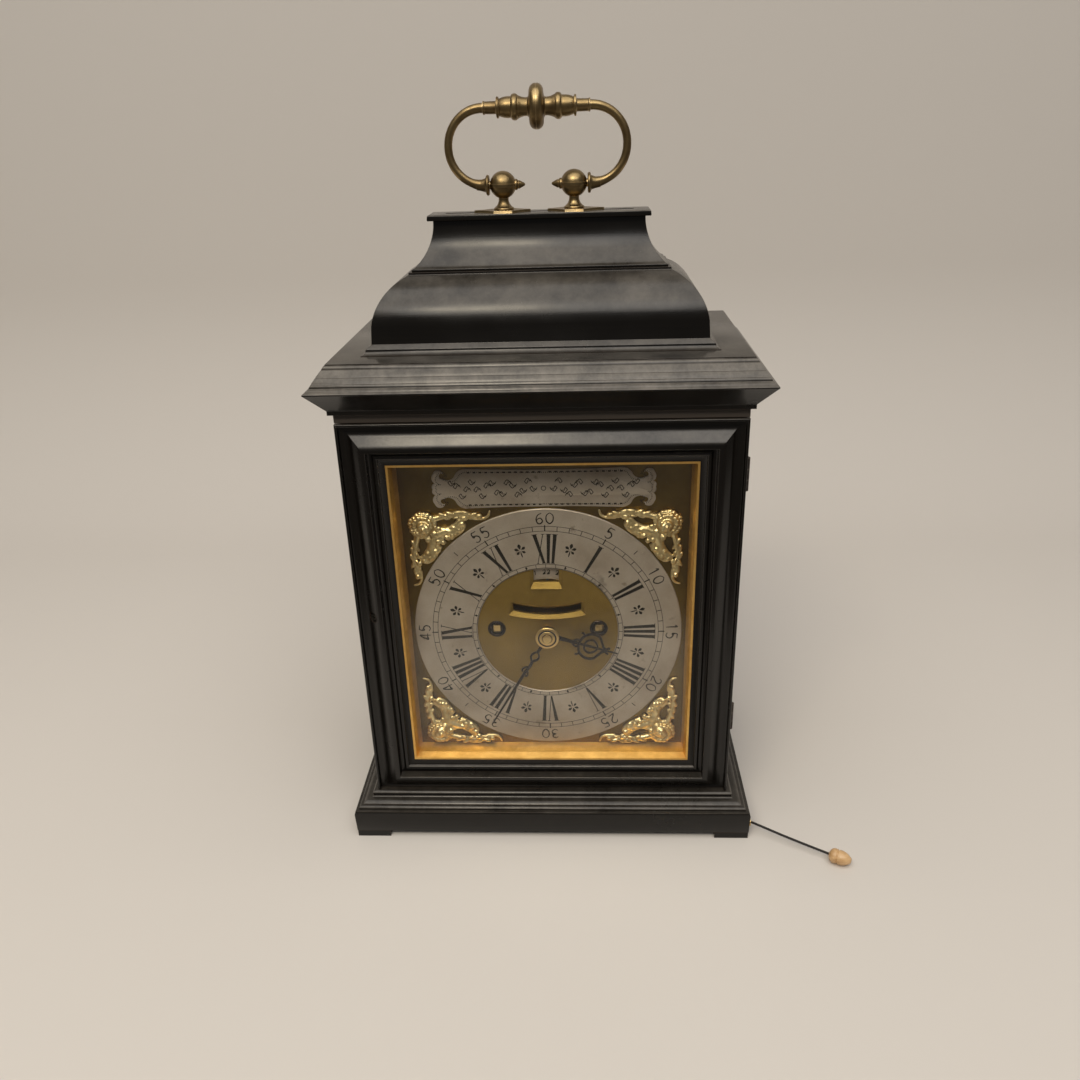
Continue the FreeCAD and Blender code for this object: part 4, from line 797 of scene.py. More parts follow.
piece("handle_roses_and_balls", bm, OLD_BRASS, "case", ("handle_mounts",))

# %% [markdown]
# ## Marks round the chapter ring
# Everything that repeats round the ring is grown by one Geometry Nodes tree: it puts a
# number of points at the dial's centre, turns each by its share of a full circle and
# instances the drawn mark there. The same tree serves the minute bars, the quarter
# hours and the fleurs-de-lis, each with its own count and first angle.

# %% Geometry Nodes: marks round a centre
RING_FACE = -43.2
INK_T = 0.05
CZ = 133.4


def round_tree():
    """The Geometry Nodes tree that sets a mark round a centre."""
    made = bpy.data.node_groups.new("Marks round a centre", "GeometryNodeTree")
    face = made.interface
    face.new_socket("Mark", in_out="INPUT", socket_type="NodeSocketGeometry")
    for label, kind, value in (("Count", "NodeSocketInt", 12), ("First Angle", "NodeSocketFloat", 0.0),
                               ("Centre", "NodeSocketVector", (0.0, 0.0, 0.0)),
                               ("Finish", "NodeSocketMaterial", None)):
        socket = face.new_socket(label, in_out="INPUT", socket_type=kind)
        if value is not None:
            socket.default_value = value
    face.new_socket("Geometry", in_out="OUTPUT", socket_type="NodeSocketGeometry")
    given, out = made.nodes.new("NodeGroupInput"), made.nodes.new("NodeGroupOutput")
    points = add(made, "GeometryNodePoints", Count=given.outputs["Count"],
                 Position=given.outputs["Centre"])
    index = add(made, "GeometryNodeInputIndex")
    share = add(made, "ShaderNodeMath", {"operation": "DIVIDE"}, i0=index.outputs[0],
                i1=given.outputs["Count"])
    angle = add(made, "ShaderNodeMath", {"operation": "MULTIPLY_ADD"}, i0=share.outputs[0],
                i1=2 * math.pi, i2=given.outputs["First Angle"])
    spin = add(made, "ShaderNodeCombineXYZ", Y=angle.outputs[0])
    placed = add(made, "GeometryNodeInstanceOnPoints", Points=points.outputs[0],
                 Instance=given.outputs["Mark"], Rotation=spin.outputs[0])
    real = add(made, "GeometryNodeRealizeInstances", Geometry=placed.outputs[0])
    painted = add(made, "GeometryNodeSetMaterial", Geometry=real.outputs[0],
                  Material=given.outputs["Finish"])
    made.links.new(painted.outputs[0], out.inputs[0])
    return made


MARKS_ROUND = round_tree()


def repeat_round(name, bm, count, first):
    """Grows an inked mark, drawn about the origin in millimetres, round the dial's centre."""
    bmesh.ops.recalc_face_normals(bm, faces=bm.faces)
    bmesh.ops.scale(bm, vec=(MM, MM, MM), verts=bm.verts)
    mesh = bpy.data.meshes.new(name)
    bm.to_mesh(mesh)
    bm.free()
    made = bpy.data.objects.new(name, mesh)
    bpy.context.scene.collection.objects.link(made)
    grower = made.modifiers.new("marks", "NODES")
    grower.node_group = MARKS_ROUND
    sockets = {item.name: item.identifier for item in MARKS_ROUND.interface.items_tree}
    grower[sockets["Count"]] = count
    grower[sockets["First Angle"]] = math.radians(first)
    grower[sockets["Centre"]] = (0.0, 0.0, CZ * MM)
    grower[sockets["Finish"]] = INK
    settle(made)
    shade(made.data)
    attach(made, "case")
    print(name, count, "marks,", len(made.data.polygons), "faces")


# %% Chapter ring and its repeated marks
bm = bmesh.new()
RING_IN, RING_OUT, PLATE_FACE = 43.3, 82.0, -42.0
rows = [(RING_IN, PLATE_FACE), (RING_IN, RING_FACE + 0.25), (RING_IN + 0.3, RING_FACE),
        (RING_OUT - 0.4, RING_FACE), (RING_OUT, RING_FACE + 0.3), (RING_OUT, PLATE_FACE)]
spun(bm, rows + [rows[0]], (0, 0, CZ), (0, 1, 0), 180)
piece("chapter_ring_plate", bm, SILVER, "case", ("chapter_ring",))

INK_FRONT, INK_BACK = RING_FACE - INK_T, RING_FACE + 0.02


def bar_mark(r0, r1, half):
    """A straight bar at twelve, between two radii."""
    bm = bmesh.new()
    sheet_cut(bm, [(-half, r0), (half, r0), (half, r1), (-half, r1)], INK_FRONT, INK_BACK)
    return bm


for label, r0, r1, half, count, first in (("minute_bars", 68.0, 70.8, 0.2, 60, 0.0),
                                          ("quarter_hour_bars", 43.8, 46.3, 0.17, 48, 0.0),
                                          ("half_quarter_marks", 74.0, 77.2, 0.22, 4, 45.0),
                                          ("five_minute_bars", 67.9, 71.6, 0.34, 12, 0.0)):
    repeat_round(label, bar_mark(r0, r1, half), count, first)

bm = bmesh.new()
LILY_R, PETAL_STEPS = 57.2, 8
for turn, near, far, swell in ((0, 0.7, 4.3, 0.85), (62, 0.8, 3.7, 0.75), (-62, 0.8, 3.7, 0.75),
                               (128, 0.8, 3.3, 0.62), (-128, 0.8, 3.3, 0.62), (180, 0.4, 4.6, 0.22)):
    a = math.radians(turn)
    shares = [i / PETAL_STEPS for i in range(PETAL_STEPS + 1)]
    reaches = [near + (far - near) * t for t in shares]
    ribbon(bm, [(r * math.sin(a), LILY_R + r * math.cos(a)) for r in reaches],
           [0.14 + swell * math.sin(math.pi * t ** 1.4) for t in shares], INK_FRONT, INK_BACK)
repeat_round("half_hour_lilies", bm, 12, 15.0)

bm = bmesh.new()
sheet_cut(bm, [(-0.75, 45.05), (0, 43.9), (0.75, 45.05), (0, 46.2)], INK_FRONT, INK_BACK)
repeat_round("half_hour_diamonds", bm, 12, 15.0)

bm = bmesh.new()
for r in (43.8, 46.3, 67.9, 70.9):
    annulus(bm, r - 0.15, r + 0.15, INK_FRONT, INK_BACK, (0, CZ))
piece("engraved_circles", bm, INK, "case")

# %% [markdown]
# ## Numerals
# Roman hours are cut with a graver: thick strokes, hair-thin ones and small serifs, all
# drawn towards the dial's centre, so they narrow inwards. A stroke is a four-sided
# shape in (across, radius), and the bend to the ring is one small function. The
# minutes are plain Arabic figures, drawn as ribbons that swell in the middle.

# %% Hour numerals
HOURS = ["XII", "I", "II", "III", "IIII", "V", "VI", "VII", "VIII", "IX", "X", "XI"]
R_LOW, R_HIGH, R_MIDDLE = 47.0, 65.9, 57.0
THICK, THIN, SERIF = 0.98, 0.22, 0.36
ADVANCE = {"I": 3.3, "V": 6.6, "X": 7.0}


def on_ring(across, radius, angle):
    """A point of a mark, bent to the ring at this clock angle."""
    a = angle + across / R_MIDDLE
    return radius * math.sin(a), CZ + radius * math.cos(a)


def stroke(bm, a, b, half_a, half_b, angle):
    """One cut of the graver between two (across, radius) points."""
    (xa, ra), (xb, rb) = a, b
    corners = [(xa - half_a, ra), (xa + half_a, ra), (xb + half_b, rb), (xb - half_b, rb)]
    sheet_cut(bm, [on_ring(x, r, angle) for x, r in corners], INK_FRONT, INK_BACK)


def serif(bm, x, r, half, angle):
    """A short cut across a stroke's end."""
    stroke(bm, (x, r - SERIF / 2), (x, r + SERIF / 2), half, half, angle)


def numeral(bm, text, angle):
    """A Roman numeral centred on a clock angle."""
    x = -sum(ADVANCE[c] for c in text) / 2
    for c in text:
        mid = x + ADVANCE[c] / 2
        if c == "I":
            stroke(bm, (mid, R_LOW), (mid, R_HIGH), THICK, THICK, angle)
            serif(bm, mid, R_LOW, THICK + 0.55, angle)
            serif(bm, mid, R_HIGH, THICK + 0.55, angle)
        if c == "V":
            stroke(bm, (mid + 0.2, R_LOW), (mid - 2.0, R_HIGH), THICK * 0.6, THICK, angle)
            stroke(bm, (mid + 0.4, R_LOW), (mid + 2.1, R_HIGH), THIN, THIN, angle)
            serif(bm, mid - 2.0, R_HIGH, THICK + 0.5, angle)
            serif(bm, mid + 2.1, R_HIGH, 0.9, angle)
        if c == "X":
            stroke(bm, (mid + 2.2, R_LOW), (mid - 2.2, R_HIGH), THICK, THICK, angle)
            stroke(bm, (mid - 2.2, R_LOW), (mid + 2.2, R_HIGH), THIN, THIN, angle)
            for side, half in ((-2.2, 0.9), (2.2, THICK + 0.5)):
                serif(bm, mid + side, R_LOW, half, angle)
                serif(bm, mid - side, R_HIGH, half, angle)
        x += ADVANCE[c]


bm = bmesh.new()
for hour, text in enumerate(HOURS):
    numeral(bm, text, math.radians(30 * hour))
piece("hour_numerals", bm, INK, "case")

# %% Arabic figures for the minutes and the date
FIGURES = {
    "0": [(0.3, 1.0), (0.06, 0.8), (0.0, 0.5), (0.06, 0.2), (0.3, 0.0), (0.54, 0.2), (0.6, 0.5),
          (0.54, 0.8), (0.3, 1.0)],
    "1": [(0.14, 0.8), (0.3, 1.0), (0.3, 0.5), (0.3, 0.0)],
    "2": [(0.04, 0.74), (0.16, 0.96), (0.4, 0.98), (0.54, 0.78), (0.44, 0.5), (0.02, 0.02), (0.32, 0.04),
          (0.6, 0.08)],
    "3": [(0.06, 0.84), (0.28, 1.0), (0.5, 0.84), (0.44, 0.6), (0.24, 0.52), (0.5, 0.44), (0.56, 0.2),
          (0.3, 0.0), (0.04, 0.14)],
    "4": [(0.44, 0.0), (0.44, 0.5), (0.44, 1.0), (0.0, 0.3), (0.3, 0.3), (0.62, 0.3)],
    "5": [(0.54, 1.0), (0.3, 1.0), (0.12, 0.98), (0.08, 0.56), (0.32, 0.62), (0.54, 0.4), (0.48, 0.12),
          (0.26, 0.0), (0.02, 0.12)],
    "6": [(0.5, 0.96), (0.2, 0.8), (0.04, 0.4), (0.14, 0.06), (0.36, 0.0), (0.56, 0.22), (0.42, 0.5),
          (0.2, 0.46), (0.06, 0.3)],
    "7": [(0.04, 0.96), (0.3, 0.98), (0.58, 1.0), (0.36, 0.5), (0.2, 0.0)],
    "8": [(0.3, 0.54), (0.1, 0.76), (0.3, 1.0), (0.5, 0.78), (0.3, 0.54), (0.04, 0.26), (0.3, 0.0),
          (0.56, 0.26), (0.3, 0.54)],
    "9": [(0.1, 0.04), (0.4, 0.2), (0.56, 0.6), (0.46, 0.94), (0.24, 1.0), (0.04, 0.78), (0.18, 0.5),
          (0.4, 0.54), (0.54, 0.7)],
}


def figure(bm, text, angle, radius, height, y, pen):
    """Figures written outwards from a radius, centred on a clock angle."""
    width = 0.86 * height
    x = -width * len(text) / 2 + 0.13 * height
    for c in text:
        line = [(x + px * height, radius + pz * height) for px, pz in smooth_line(FIGURES[c], 4)]
        bent = [(r * math.sin(angle + a / radius), CZ + r * math.cos(angle + a / radius)) for a, r in line]
        swells = [math.sin(math.pi * i / (len(bent) - 1)) for i in range(len(bent))]
        ribbon(bm, bent, [pen * height * (0.7 + 0.6 * swell) for swell in swells], y - INK_T, y + 0.02)
        x += width


bm = bmesh.new()
for minute in range(5, 61, 5):
    figure(bm, str(minute), math.radians(6 * minute), 72.7, 6.8, RING_FACE, 0.045)
piece("minute_figures", bm, INK, "case")

DATE_FACE = -39.6
bm = bmesh.new()
for day in range(1, 32):
    figure(bm, str(day), math.radians(360 / 31 * (day - 22)), 37.9, 2.9, DATE_FACE, 0.06)
piece("date_figures", bm, INK, "date_ring")

# %% [markdown]
# ## Frames of the dial's openings
# The mock pendulum's slot and the date window are chamfered, so each shows a bright
# lip along its lower edge. A lip is a thin wedge of polished brass that follows the
# opening, and it is made as a curved strip here.

# %% Opening lips, and winding-hole rings blackened as painted shade
VERGE_Z, SLOT_X, SLOT_LOW, SLOT_HIGH = 222.0, 20.8, 77.2, 72.2
LIP_Y = PLATE_FACE - 0.05


def verge_arc(x, radius):
    """A point on an arc about the verge staff, at this x."""
    return x, VERGE_Z - math.sqrt(radius * radius - x * x)


def chamfer_strip(bm, inner, outer, y_in, y_out):
    """A sloping strip between two lines in X and Z, thick enough to sit on the plate."""
    a = [bm.verts.new((x, y_in, z)) for x, z in inner]
    b = [bm.verts.new((x, y_out, z)) for x, z in outer]
    c = [bm.verts.new((x, PLATE_FACE + 0.02, z)) for x, z in outer]
    d = [bm.verts.new((x, PLATE_FACE + 0.02, z)) for x, z in inner]
    rings = [a, b, c, d]
    for i in range(len(inner) - 1):
        for k in range(4):
            n = (k + 1) % 4
            bm.faces.new((rings[k][i], rings[k][i + 1], rings[n][i + 1], rings[n][i]))
    bm.faces.new([r[0] for r in rings])
    bm.faces.new([r[-1] for r in rings][::-1])


bm = bmesh.new()
xs = [i * 1.6 - SLOT_X for i in range(27)]
lower = [verge_arc(x, SLOT_LOW) for x in xs]
chamfer_strip(bm, lower, [(x * 1.13, z - 2.3) for x, z in lower], LIP_Y, PLATE_FACE - 1.75)
upper = [verge_arc(x, SLOT_HIGH) for x in xs]
chamfer_strip(bm, upper, [(x * 1.04, z + 0.7) for x, z in upper], LIP_Y, PLATE_FACE - 0.35)
end_low, end_high = verge_arc(SLOT_X, SLOT_LOW)[1], verge_arc(SLOT_X, SLOT_HIGH)[1]
for sign in (-1, 1):
    chamfer_strip(bm, [(sign * SLOT_X, end_low), (sign * SLOT_X, end_high)],
                  [(sign * 23.4, end_low - 2.3), (sign * 21.6, end_high + 0.7)], LIP_Y, PLATE_FACE - 0.6)
DATE_X, DATE_LOW, DATE_TOP, LIP_X, LIP_LOW = 7.6, 167.2, 176.4, 9.6, 163.6
chamfer_strip(bm, [(-DATE_X, DATE_LOW), (DATE_X, DATE_LOW)], [(-LIP_X, LIP_LOW), (LIP_X, LIP_LOW)], LIP_Y,
              PLATE_FACE - 2.4)
for sign in (-1, 1):
    chamfer_strip(bm, [(sign * DATE_X, DATE_LOW), (sign * DATE_X, DATE_TOP)],
                  [(sign * LIP_X, LIP_LOW), (sign * LIP_X, DATE_TOP)], LIP_Y, PLATE_FACE - 0.7)
piece("opening_lips", bm, DIAL_BRASS, "case")

WIND_X, WIND_Z = math.sqrt(31.5 ** 2 - 1.6 ** 2), 135.0
# Near-black blued rings round the winding holes narrow and darken them: painted shade in the holes.
bm = bmesh.new()
for sign in (-1, 1):
    rim = outline([(3.6, 0.9), (3.6, -0.3), (4.6, -0.7, 5.5, -0.3), (5.6, 0.05), (4.2, 0.05),
                   (4.2, 0.9)], 0.2)
    spun(bm, rim + [rim[0]], (sign * WIND_X, PLATE_FACE, WIND_Z), (0, 1, 0), 48)
piece("winding_hole_rings_painted_shade", bm, BLUED, "case")

# %% [markdown]
# ## Hands
# The hands are sawn and filed from thin steel and blued almost black. Each is drawn as
# a set of tapering ribbons, the loops as closed curves, then given a small bevel so the
# filed edges glint.

# %% Hands
MINUTE_AT, HOUR_AT, HAND_T = math.radians(210.0), math.radians(107.5), 1.0


def hand_piece(name, strips, boss, angle, front, body, node):
    """A hand drawn pointing to twelve, on a boss of two radii, and turned to its hour."""
    bm = bmesh.new()
    for line, widths in strips:
        ribbon(bm, line, widths, front, front + HAND_T)
    annulus(bm, *boss, front, front + HAND_T, (0, 0), 40)
    turn_hand = Matrix.Rotation(angle, 4, "Y")
    bmesh.ops.transform(bm, matrix=Matrix.Translation((0, 0, CZ)) @ turn_hand, verts=bm.verts)
    return piece(name, bm, BLUED, body, (node,), bevel=0.12)


def tapered(points, start, end):
    """A smooth line and its half widths, from start to end."""
    line = smooth_line(points, 5)
    return line, [start + (end - start) * i / (len(line) - 1) for i in range(len(line))]


minute_strips = [tapered([(0, 4.5), (0, 9), (0.2, 13)], 1.2, 0.8),
                 tapered([(0, 12), (1.9, 14.2), (2.2, 17.0), (0.2, 19.6)], 0.45, 0.75),
                 tapered([(0, 12), (-1.9, 14.2), (-2.2, 17.0), (-0.2, 19.6)], 0.45, 0.75),
                 tapered([(0, 19), (-0.5, 23), (0.1, 28)], 1.0, 0.85),
                 tapered([(0.2, 24.5), (1.6, 25.6), (2.5, 27.6), (1.7, 29.0)], 0.4, 0.65),
                 tapered([(-0.2, 27.0), (-1.6, 28.2), (-2.2, 30.2), (-1.4, 31.4)], 0.4, 0.6),
                 tapered([(0, 27), (0, 50), (0, 72.5)], 1.05, 0.35)]
hand_piece("long_hand", minute_strips, (1.5, 5.4), MINUTE_AT, -50.4, "minute_arbor", "minute_hand")

hour_strips = [tapered([(0, 4.5), (0, 12), (0, 19.5)], 1.5, 0.85),
               tapered([(0, 19), (0, 32), (0, 45.0)], 0.8, 0.3)]
for s in (-1, 1):
    hour_strips += [tapered([(0, 20.0), (s * 2.6, 20.6), (s * 6.2, 22.2), (s * 8.6, 26.2), (s * 8.0, 31.0),
                             (s * 4.6, 33.6), (s * 1.8, 35.4), (0, 38.0)], 0.75, 0.7),
                    tapered([(s * 0.3, 23.6), (s * 3.2, 24.6), (s * 4.6, 27.8), (s * 2.8, 30.8),
                             (0, 32.2)], 0.6, 0.5),
                    tapered([(s * 6.2, 22.2), (s * 7.6, 21.0), (s * 7.7, 19.6)], 0.6, 0.45),
                    tapered([(0, 15.5), (s * 1.6, 17.0), (s * 2.4, 18.9), (s * 1.5, 20.2)], 0.5, 0.7),
                    tapered([(0, 37.0), (s * 1.7, 38.2), (s * 1.9, 39.6)], 0.5, 0.6)]
hand_piece("short_hand", hour_strips, (2.35, 5.8), HOUR_AT, -47.6, "hour_pipe", "hour_hand")

bm = bmesh.new()
collet = outline([(1.5, 0), (7.2, 0), (7.3, 0.6, 6.6, 1.2), (5.6, 1.3), (5.2, 1.0), (4.4, 1.6, 3.4, 1.8),
                  (2.9, 1.4), (2.6, 2.4), (1.5, 2.5), (1.5, 0)], 0.3)
spun(bm, collet + [collet[0]], (0, -50.4, CZ), (0, -1, 0), 48)
piece("hand_washer", bm, CLOCK_BRASS, "minute_arbor", ("hand_collet",))
# Two thin near-black rings fill the washer's grooves: painted shade in the grooves.
bm = bmesh.new()
annulus(bm, 4.8, 5.7, -51.85, -51.3, (0, CZ), 48)
annulus(bm, 2.5, 3.1, -52.05, -51.7, (0, CZ), 48)
piece("washer_groove_painted_shade", bm, BLUED, "minute_arbor")

# %% [markdown]
# ## Corner mounts
# The spandrels are cast brass, gilt: a curly-haired winged head with leafy scrolls that
# run out along both sides of the corner. A casting has no sharp edges, so each mount is
# heaped up from soft lumps and tapering stems, melted together by a voxel remesh and
# smoothed. One mount is made and mirrored into the four corners.

# %% Corner mounts
SPANDREL_MID = 133.0


def corner_casting():
    """The top-left mount, in millimetres; one half is drawn and mirrored in the corner's diagonal."""
    bm = bmesh.new()
    y, hx, hz = PLATE_FACE, -71.6, 206.0
    rng = random.Random(7)

    def knob(x, z, size, out):
        """A lump standing this far out of the plate, at a random tilt."""
        lump(bm, (x, y - out, z), size, rng.uniform(-0.5, 0.5))

    def mirrored(x, z, flip):
        """The place itself, or its mirror image in the diagonal through the head."""
        return (hx - (z - hz), hz - (x - hx)) if flip else (x, z)

    # the head, its face turned towards the dial under two rows of curls
    lean = math.radians(-42)
    lump(bm, (hx, y - 2.0, hz), (6.2, 3.0, 7.0), lean)
    lump(bm, (hx + 0.9, y - 4.4, hz - 0.9), (3.7, 2.6, 4.6), lean)
    across, upwards = (math.cos(lean), -math.sin(lean)), (math.sin(lean), math.cos(lean))
    for right, up, out, size in ((0, 0, 7.0, (0.8, 1.0, 1.2)), (1.9, -0.9, 6.0, (1.3, 1.0, 1.2)),
                                 (-1.9, -0.9, 6.0, (1.3, 1.0, 1.2)), (0, -3.1, 6.2, (1.2, 1.0, 0.9)),
                                 (0, 2.7, 6.1, (2.4, 0.9, 1.1)), (0, -1.9, 6.5, (1.1, 0.7, 0.45))):
        x = hx + 0.9 + right * across[0] + up * upwards[0]
        z = hz - 0.9 + right * across[1] + up * upwards[1]
        lump(bm, (x, y - out, z), size, lean)
    for count, far, out, size in ((17, 7.3, 1.9, 1.6), (13, 5.3, 4.0, 1.45)):
        for i in range(count):
            a = math.radians(-8 + 286 * i / (count - 1))
            r = far + rng.uniform(-0.35, 0.5)
            curl = (size, size * 0.9, size * rng.uniform(0.7, 1.1))
            knob(hx + r * math.cos(a), hz + r * math.sin(a), curl, out)
    # leafage: stems (points, start and end radius) and knobs, mirrored in the diagonal
    stems = (([(-64.0, 210.0), (-58.0, 211.6), (-50.0, 212.9), (-42.0, 211.7), (-37.6, 210.4)], 2.1, 1.4),
             ([(-41.0, 209.8), (-36.2, 209.7), (-33.0, 211.3), (-31.9, 214.2)], 1.2, 0.7),
             ([(-63.5, 203.2), (-57.5, 203.2), (-52.5, 206.0), (-49.6, 208.6), (-47.4, 205.6),
               (-49.0, 202.2), (-52.0, 199.7), (-57.2, 196.7)], 1.7, 1.1),
             ([(-65.0, 199.5), (-59.1, 200.9), (-54.2, 202.6), (-51.0, 203.6)], 2.2, 1.3),
             ([(-66.0, 199.8), (-62.9, 197.0), (-59.8, 194.6)], 2.2, 1.2),
             ([(-62.6, 200.4), (-58.0, 202.2), (-53.0, 202.0), (-50.4, 205.6)], 2.5, 1.9))
    knobs = [(-59.6 + 4.5 * i, 212.6 + 1.5 * math.sin(0.75 * i), (2.7, 1.1, 1.1)) for i in range(5)]
    knobs += [(-56.4 + 4.6 * i, 210.2 + 0.6 * math.sin(1.0 * i), (2.2, 1.2, 0.9)) for i in range(4)]
    knobs += [(x, z, (1.7, 1.3, 1.5)) for x, z in (
        (-60.6, 201.0), (-56.6, 202.0), (-53.4, 204.2), (-50.6, 203.0), (-54.6, 199.9), (-57.9, 198.2),
        (-48.4, 206.6), (-51.2, 200.9), (-62.4, 203.8), (-61.0, 197.6), (-38.0, 211.6), (-46.4, 209.9),
        (-60.4, 194.9), (-55.2, 197.9))]
    for flip in (False, True):
        for line, r0, r1 in stems:
            line = [mirrored(x, z, flip) for x, z in smooth_line(line, 7)]
            stem(bm, [(x, y - 1.1, z) for x, z in line], (r0, r1))
        for x, z, size in knobs:
            knob(*mirrored(x, z, flip), size[::-1] if flip else size, 1.9 + rng.uniform(-0.3, 0.5))
    bmesh.ops.scale(bm, vec=(MM, MM, MM), verts=bm.verts)
    mesh = bpy.data.meshes.new("casting")
    bm.to_mesh(mesh)
    bm.free()
    cast = bpy.data.objects.new("casting", mesh)
    bpy.context.scene.collection.objects.link(cast)
    melt = cast.modifiers.new("melt", "REMESH")
    melt.mode, melt.voxel_size = "VOXEL", 0.4 * MM
    even = cast.modifiers.new("even", "SMOOTH")
    even.factor, even.iterations = 0.5, 1
    settle(cast)
    return cast


casting = corner_casting()
bm = bmesh.new()
for sx, sz in ((1, 1), (-1, 1), (1, -1), (-1, -1)):
    copy = casting.data.copy()
    seat = Matrix.Translation((0, 0, SPANDREL_MID * MM * (1 - sz))) @ Matrix.Diagonal((sx, 1, sz, 1))
    copy.transform(seat)
    if sx * sz < 0:
        copy.flip_normals()
    bm.from_mesh(copy)
    bpy.data.meshes.remove(copy)
SUNK = (PLATE_FACE + 0.4) * MM     # no mount reaches deeper into the plate
for v in bm.verts:
    v.co.y = min(v.co.y, SUNK)
bmesh.ops.scale(bm, vec=(1 / MM, 1 / MM, 1 / MM), verts=bm.verts)
piece("winged_head_mounts", bm, CAST_GILT, "case", ("spandrels",), angle=math.radians(60))
bpy.data.objects.remove(casting)

# %% [markdown]
# ## The nameplate
# Above the ring sits a silvered cartouche with scrolled ears. It has a border of small
# nicks, a ring in the middle and scattered leafy flourishes.

# %% Nameplate
NAME_Z0, NAME_Z1, NAME_FACE = 216.0, 240.4, -43.0
NAME_MID, NAME_HALF = (NAME_Z0 + NAME_Z1) / 2, (NAME_Z1 - NAME_Z0) / 2


def cartouche():
    """Right half of the outline from the bottom middle to the top middle."""
    steps = [(0, 0.9), (24, 0.7, 45.5, 0), (48.5, 1.0, 51.0, 3.8), (54.0, 6.6, 58.0, 6.0),
             (60.0, 3.6, 57.6, 2.9), (60.6, 0.6, 63.6, 3.0), (64.4, 6.4, 61.6, 9.0),
             (64.5, 9.9, 64.2, NAME_HALF)]
    lower = [tuple(v + NAME_Z0 * (i % 2) for i, v in enumerate(step)) for step in steps]
    points = outline(lower, 0.4)
    upper = [(x, NAME_Z0 + NAME_Z1 - z) for x, z in reversed(points[:-1])]
    return points + upper


half = cartouche()
bm = bmesh.new()
sheet_cut(bm, half + [(-x, z) for x, z in reversed(half[1:-1])], NAME_FACE, PLATE_FACE)
piece("name_cartouche", bm, SILVER, "case", ("nameplate",), bevel=0.15)

ENGRAVED, CUT_BACK = NAME_FACE - INK_T, NAME_FACE + 0.02
bm = bmesh.new()
inset = [(x * 0.965, NAME_MID + (z - NAME_MID) * 0.86) for x, z in half]
border = inset + [(-x, z) for x, z in reversed(inset[1:-1])]
for i in range(0, len(border), 3):
    a, b = border[i], border[(i + 1) % len(border)]
    if math.dist(a, b) < 3:
        ribbon(bm, [a, b], 0.36, ENGRAVED, CUT_BACK)
for side in (-1, 1):
    for k in range(13):
        for z in (NAME_Z0 + 2.2, NAME_Z1 - 2.2):
            x = side * (3.0 + 3.4 * k)
            ribbon(bm, [(x, z), (x + 1.6, z)], 0.42, ENGRAVED, CUT_BACK)
    for k in range(17):
        x, z, up = 4.2 + 2.95 * k, NAME_MID + 4.4 * math.sin(1.7 * k), 1 if k % 2 else -1
        for dx, bow, length in ((0, 1.9, 3.9), (1.2, -1.3, 2.6), (-0.6, 0.9, 1.8)):
            line = smooth_line([(side * (x + dx), z + 1.3 * dx * up),
                                (side * (x + dx + 0.5 * length), z + bow * up),
                                (side * (x + dx + length), z - 0.3 * bow * up)], 4)
            pens = [0.09 + 0.17 * math.sin(math.pi * i / (len(line) - 1)) for i in range(len(line))]
            ribbon(bm, line, pens, ENGRAVED, CUT_BACK)
annulus(bm, 1.1, 1.5, ENGRAVED, CUT_BACK, (0, NAME_MID), 32)
piece("cartouche_engraving", bm, INK, "case")

# %% [markdown]
# ## Acorn and cord
# The acorn is a small turned cup and nut. It lies on its side at the cord's end, where
# the cord runs into the cup. The cord gets its black finish and rides on the case.

# %% Acorn and the cord's finish
acorn_base = Vector(CORD_ROUTE[-1])
acorn_axis = ACORN_END / MM - acorn_base
reach = acorn_axis.length
bm = bmesh.new()
spun(bm, outline([(0, 0), (1.7, 0), (2.1, 0.3), (3.8, 1.3, 4.5, 3.6), (4.5, 4.7), (4.1, 5.0), (4.1, 5.4),
                  (4.45, 5.7), (4.2, 8.8, 2.6, reach - 1.4), (1.9, reach - 0.4), (1.2, reach),
                  (0, reach)], 0.4),
     acorn_base, acorn_axis, 40)
acorn = piece("turned_acorn", bm, ACORN_WOOD, "case", ("pull_acorn",))

pull_cord.data.materials.append(CORD)
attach(pull_cord, "case")
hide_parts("pull_cord")

# %% [markdown]
# ## Light and ground
# Black polish shows little but what it mirrors, so the sky is three flat panels with
# straight edges: a bright strip in front, a broad calmer one overhead and a small warm
# patch at the left. Their edges draw the crisp bands along each moulding. The pale
# ground ends just in front of what the camera sees and is dark beyond, so the upright
# faces and the upper half of the glass mirror something dark. The ground is one-sided:
# from behind the clock its upright part can be looked through.

# %% Ground, backdrop and lamps
PALE_EDGE = (-0.36, -0.25)     # where the pale ground fades out in front, in metres

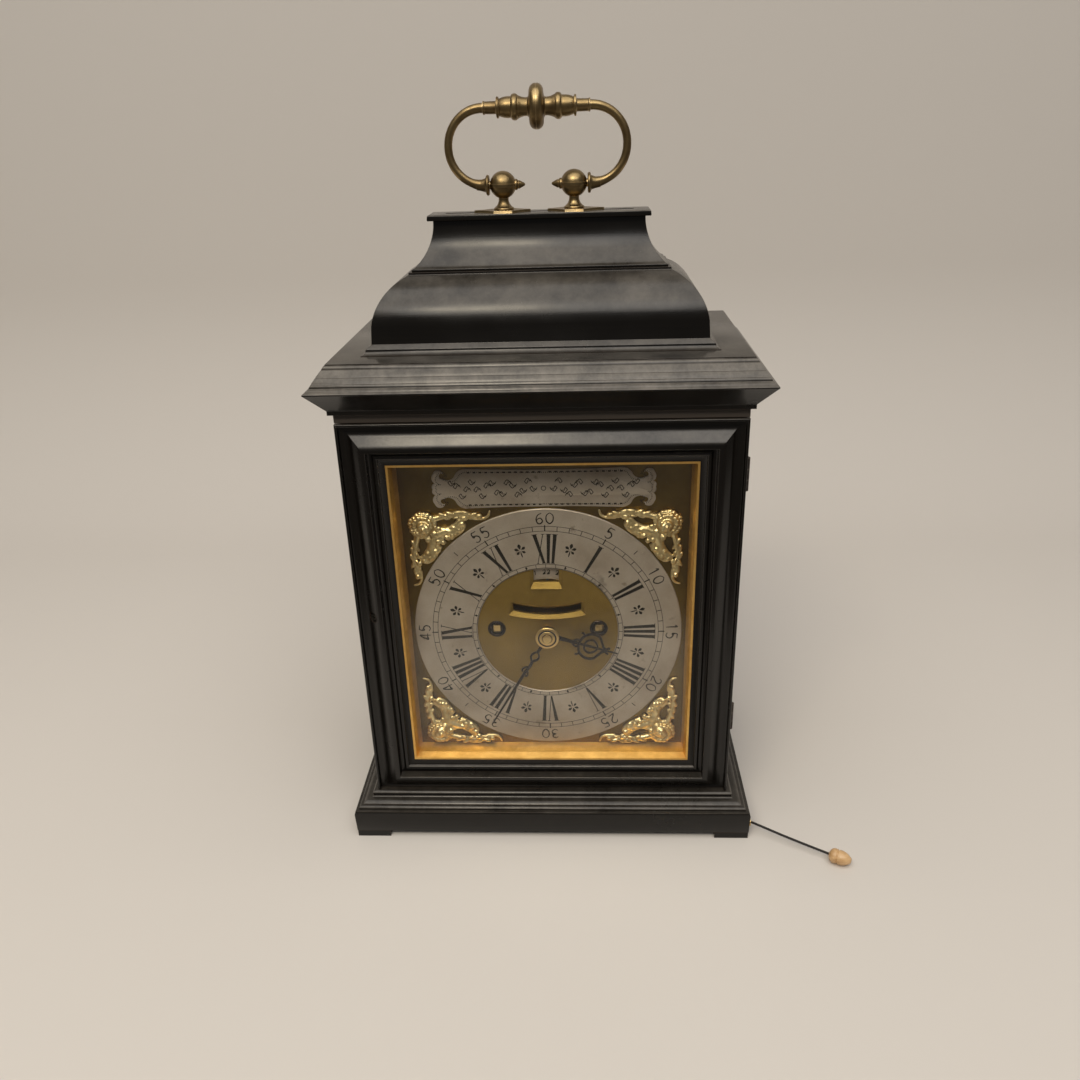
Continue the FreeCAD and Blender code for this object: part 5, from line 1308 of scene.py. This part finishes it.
PALE, tree, shader = finish_of("pale_ground", (0.64, 0.605, 0.565), roughness=0.9)
place = own_place(tree)
split = add(tree, "ShaderNodeSeparateXYZ", Vector=place)
near = add(tree, "ShaderNodeMapRange", {"interpolation_type": "SMOOTHSTEP"}, Value=split.outputs["Y"],
           From_Min=PALE_EDGE[0], From_Max=PALE_EDGE[1])
tree.links.new(blend_colour(tree, near.outputs[0], (0.10, 0.09, 0.08), (0.64, 0.605, 0.565)),
               shader.inputs["Base Color"])
facing = add(tree, "ShaderNodeNewGeometry")
unseen = add(tree, "ShaderNodeBsdfTransparent")
one_sided = add(tree, "ShaderNodeMixShader", i0=facing.outputs["Backfacing"], i1=shader.outputs[0],
                i2=unseen.outputs[0])
tree.links.new(one_sided.outputs[0], tree.nodes["Material Output"].inputs["Surface"])
GROUND_HALF, WALL_Y, WALL_H, BEND = 2.0, 0.62, 2.2, 0.25
profile = [(-GROUND_HALF, 0.0), (WALL_Y - BEND, 0.0)]
profile += [(WALL_Y - BEND + BEND * math.sin(a), BEND - BEND * math.cos(a))
            for a in (math.pi / 2 * i / 12 for i in range(1, 13))] + [(WALL_Y, WALL_H)]
mesh = bpy.data.meshes.new("ground_and_backdrop")
mesh.from_pydata([(x, y, z) for y, z in profile for x in (-GROUND_HALF, GROUND_HALF)], [],
                 [(2 * i, 2 * i + 1, 2 * i + 3, 2 * i + 2) for i in range(len(profile) - 1)])
mesh.materials.append(PALE)
shade(mesh, math.pi)
ground = bpy.data.objects.new("ground_and_backdrop", mesh)
bpy.context.scene.collection.objects.link(ground)


def panel(name, at, width, depth, radiance, colour):
    """A rectangular lamp that looks straight down, with this radiance."""
    data = bpy.data.lights.new(name, "AREA")
    data.shape, data.size, data.size_y, data.color = "RECTANGLE", width, depth, colour
    data.energy = radiance * math.pi * width * depth
    made = bpy.data.objects.new(name, data)
    made.location = at
    bpy.context.scene.collection.objects.link(made)
    print(name, "%.1f W" % data.energy)


SKY_Z, DAYLIGHT, WARM = 1.9, (1.0, 0.965, 0.92), (1.0, 0.86, 0.62)
panel("sky_overhead", (0.0, -0.42, SKY_Z), 2.6, 1.24, 1.9, DAYLIGHT)
panel("sky_in_front", (0.0, -1.62, SKY_Z), 2.6, 1.16, 3.4, DAYLIGHT)
panel("sky_warm_patch", (-0.50, -1.46, SKY_Z - 0.01), 0.80, 0.34, 15.0, WARM)

world = bpy.data.worlds.new("open_sky")
bpy.context.scene.world = world
world.use_nodes = True
surround = world.node_tree.nodes["Background"]
surround.inputs["Color"].default_value = (0.80, 0.77, 0.74, 1)
surround.inputs["Strength"].default_value = 0.14
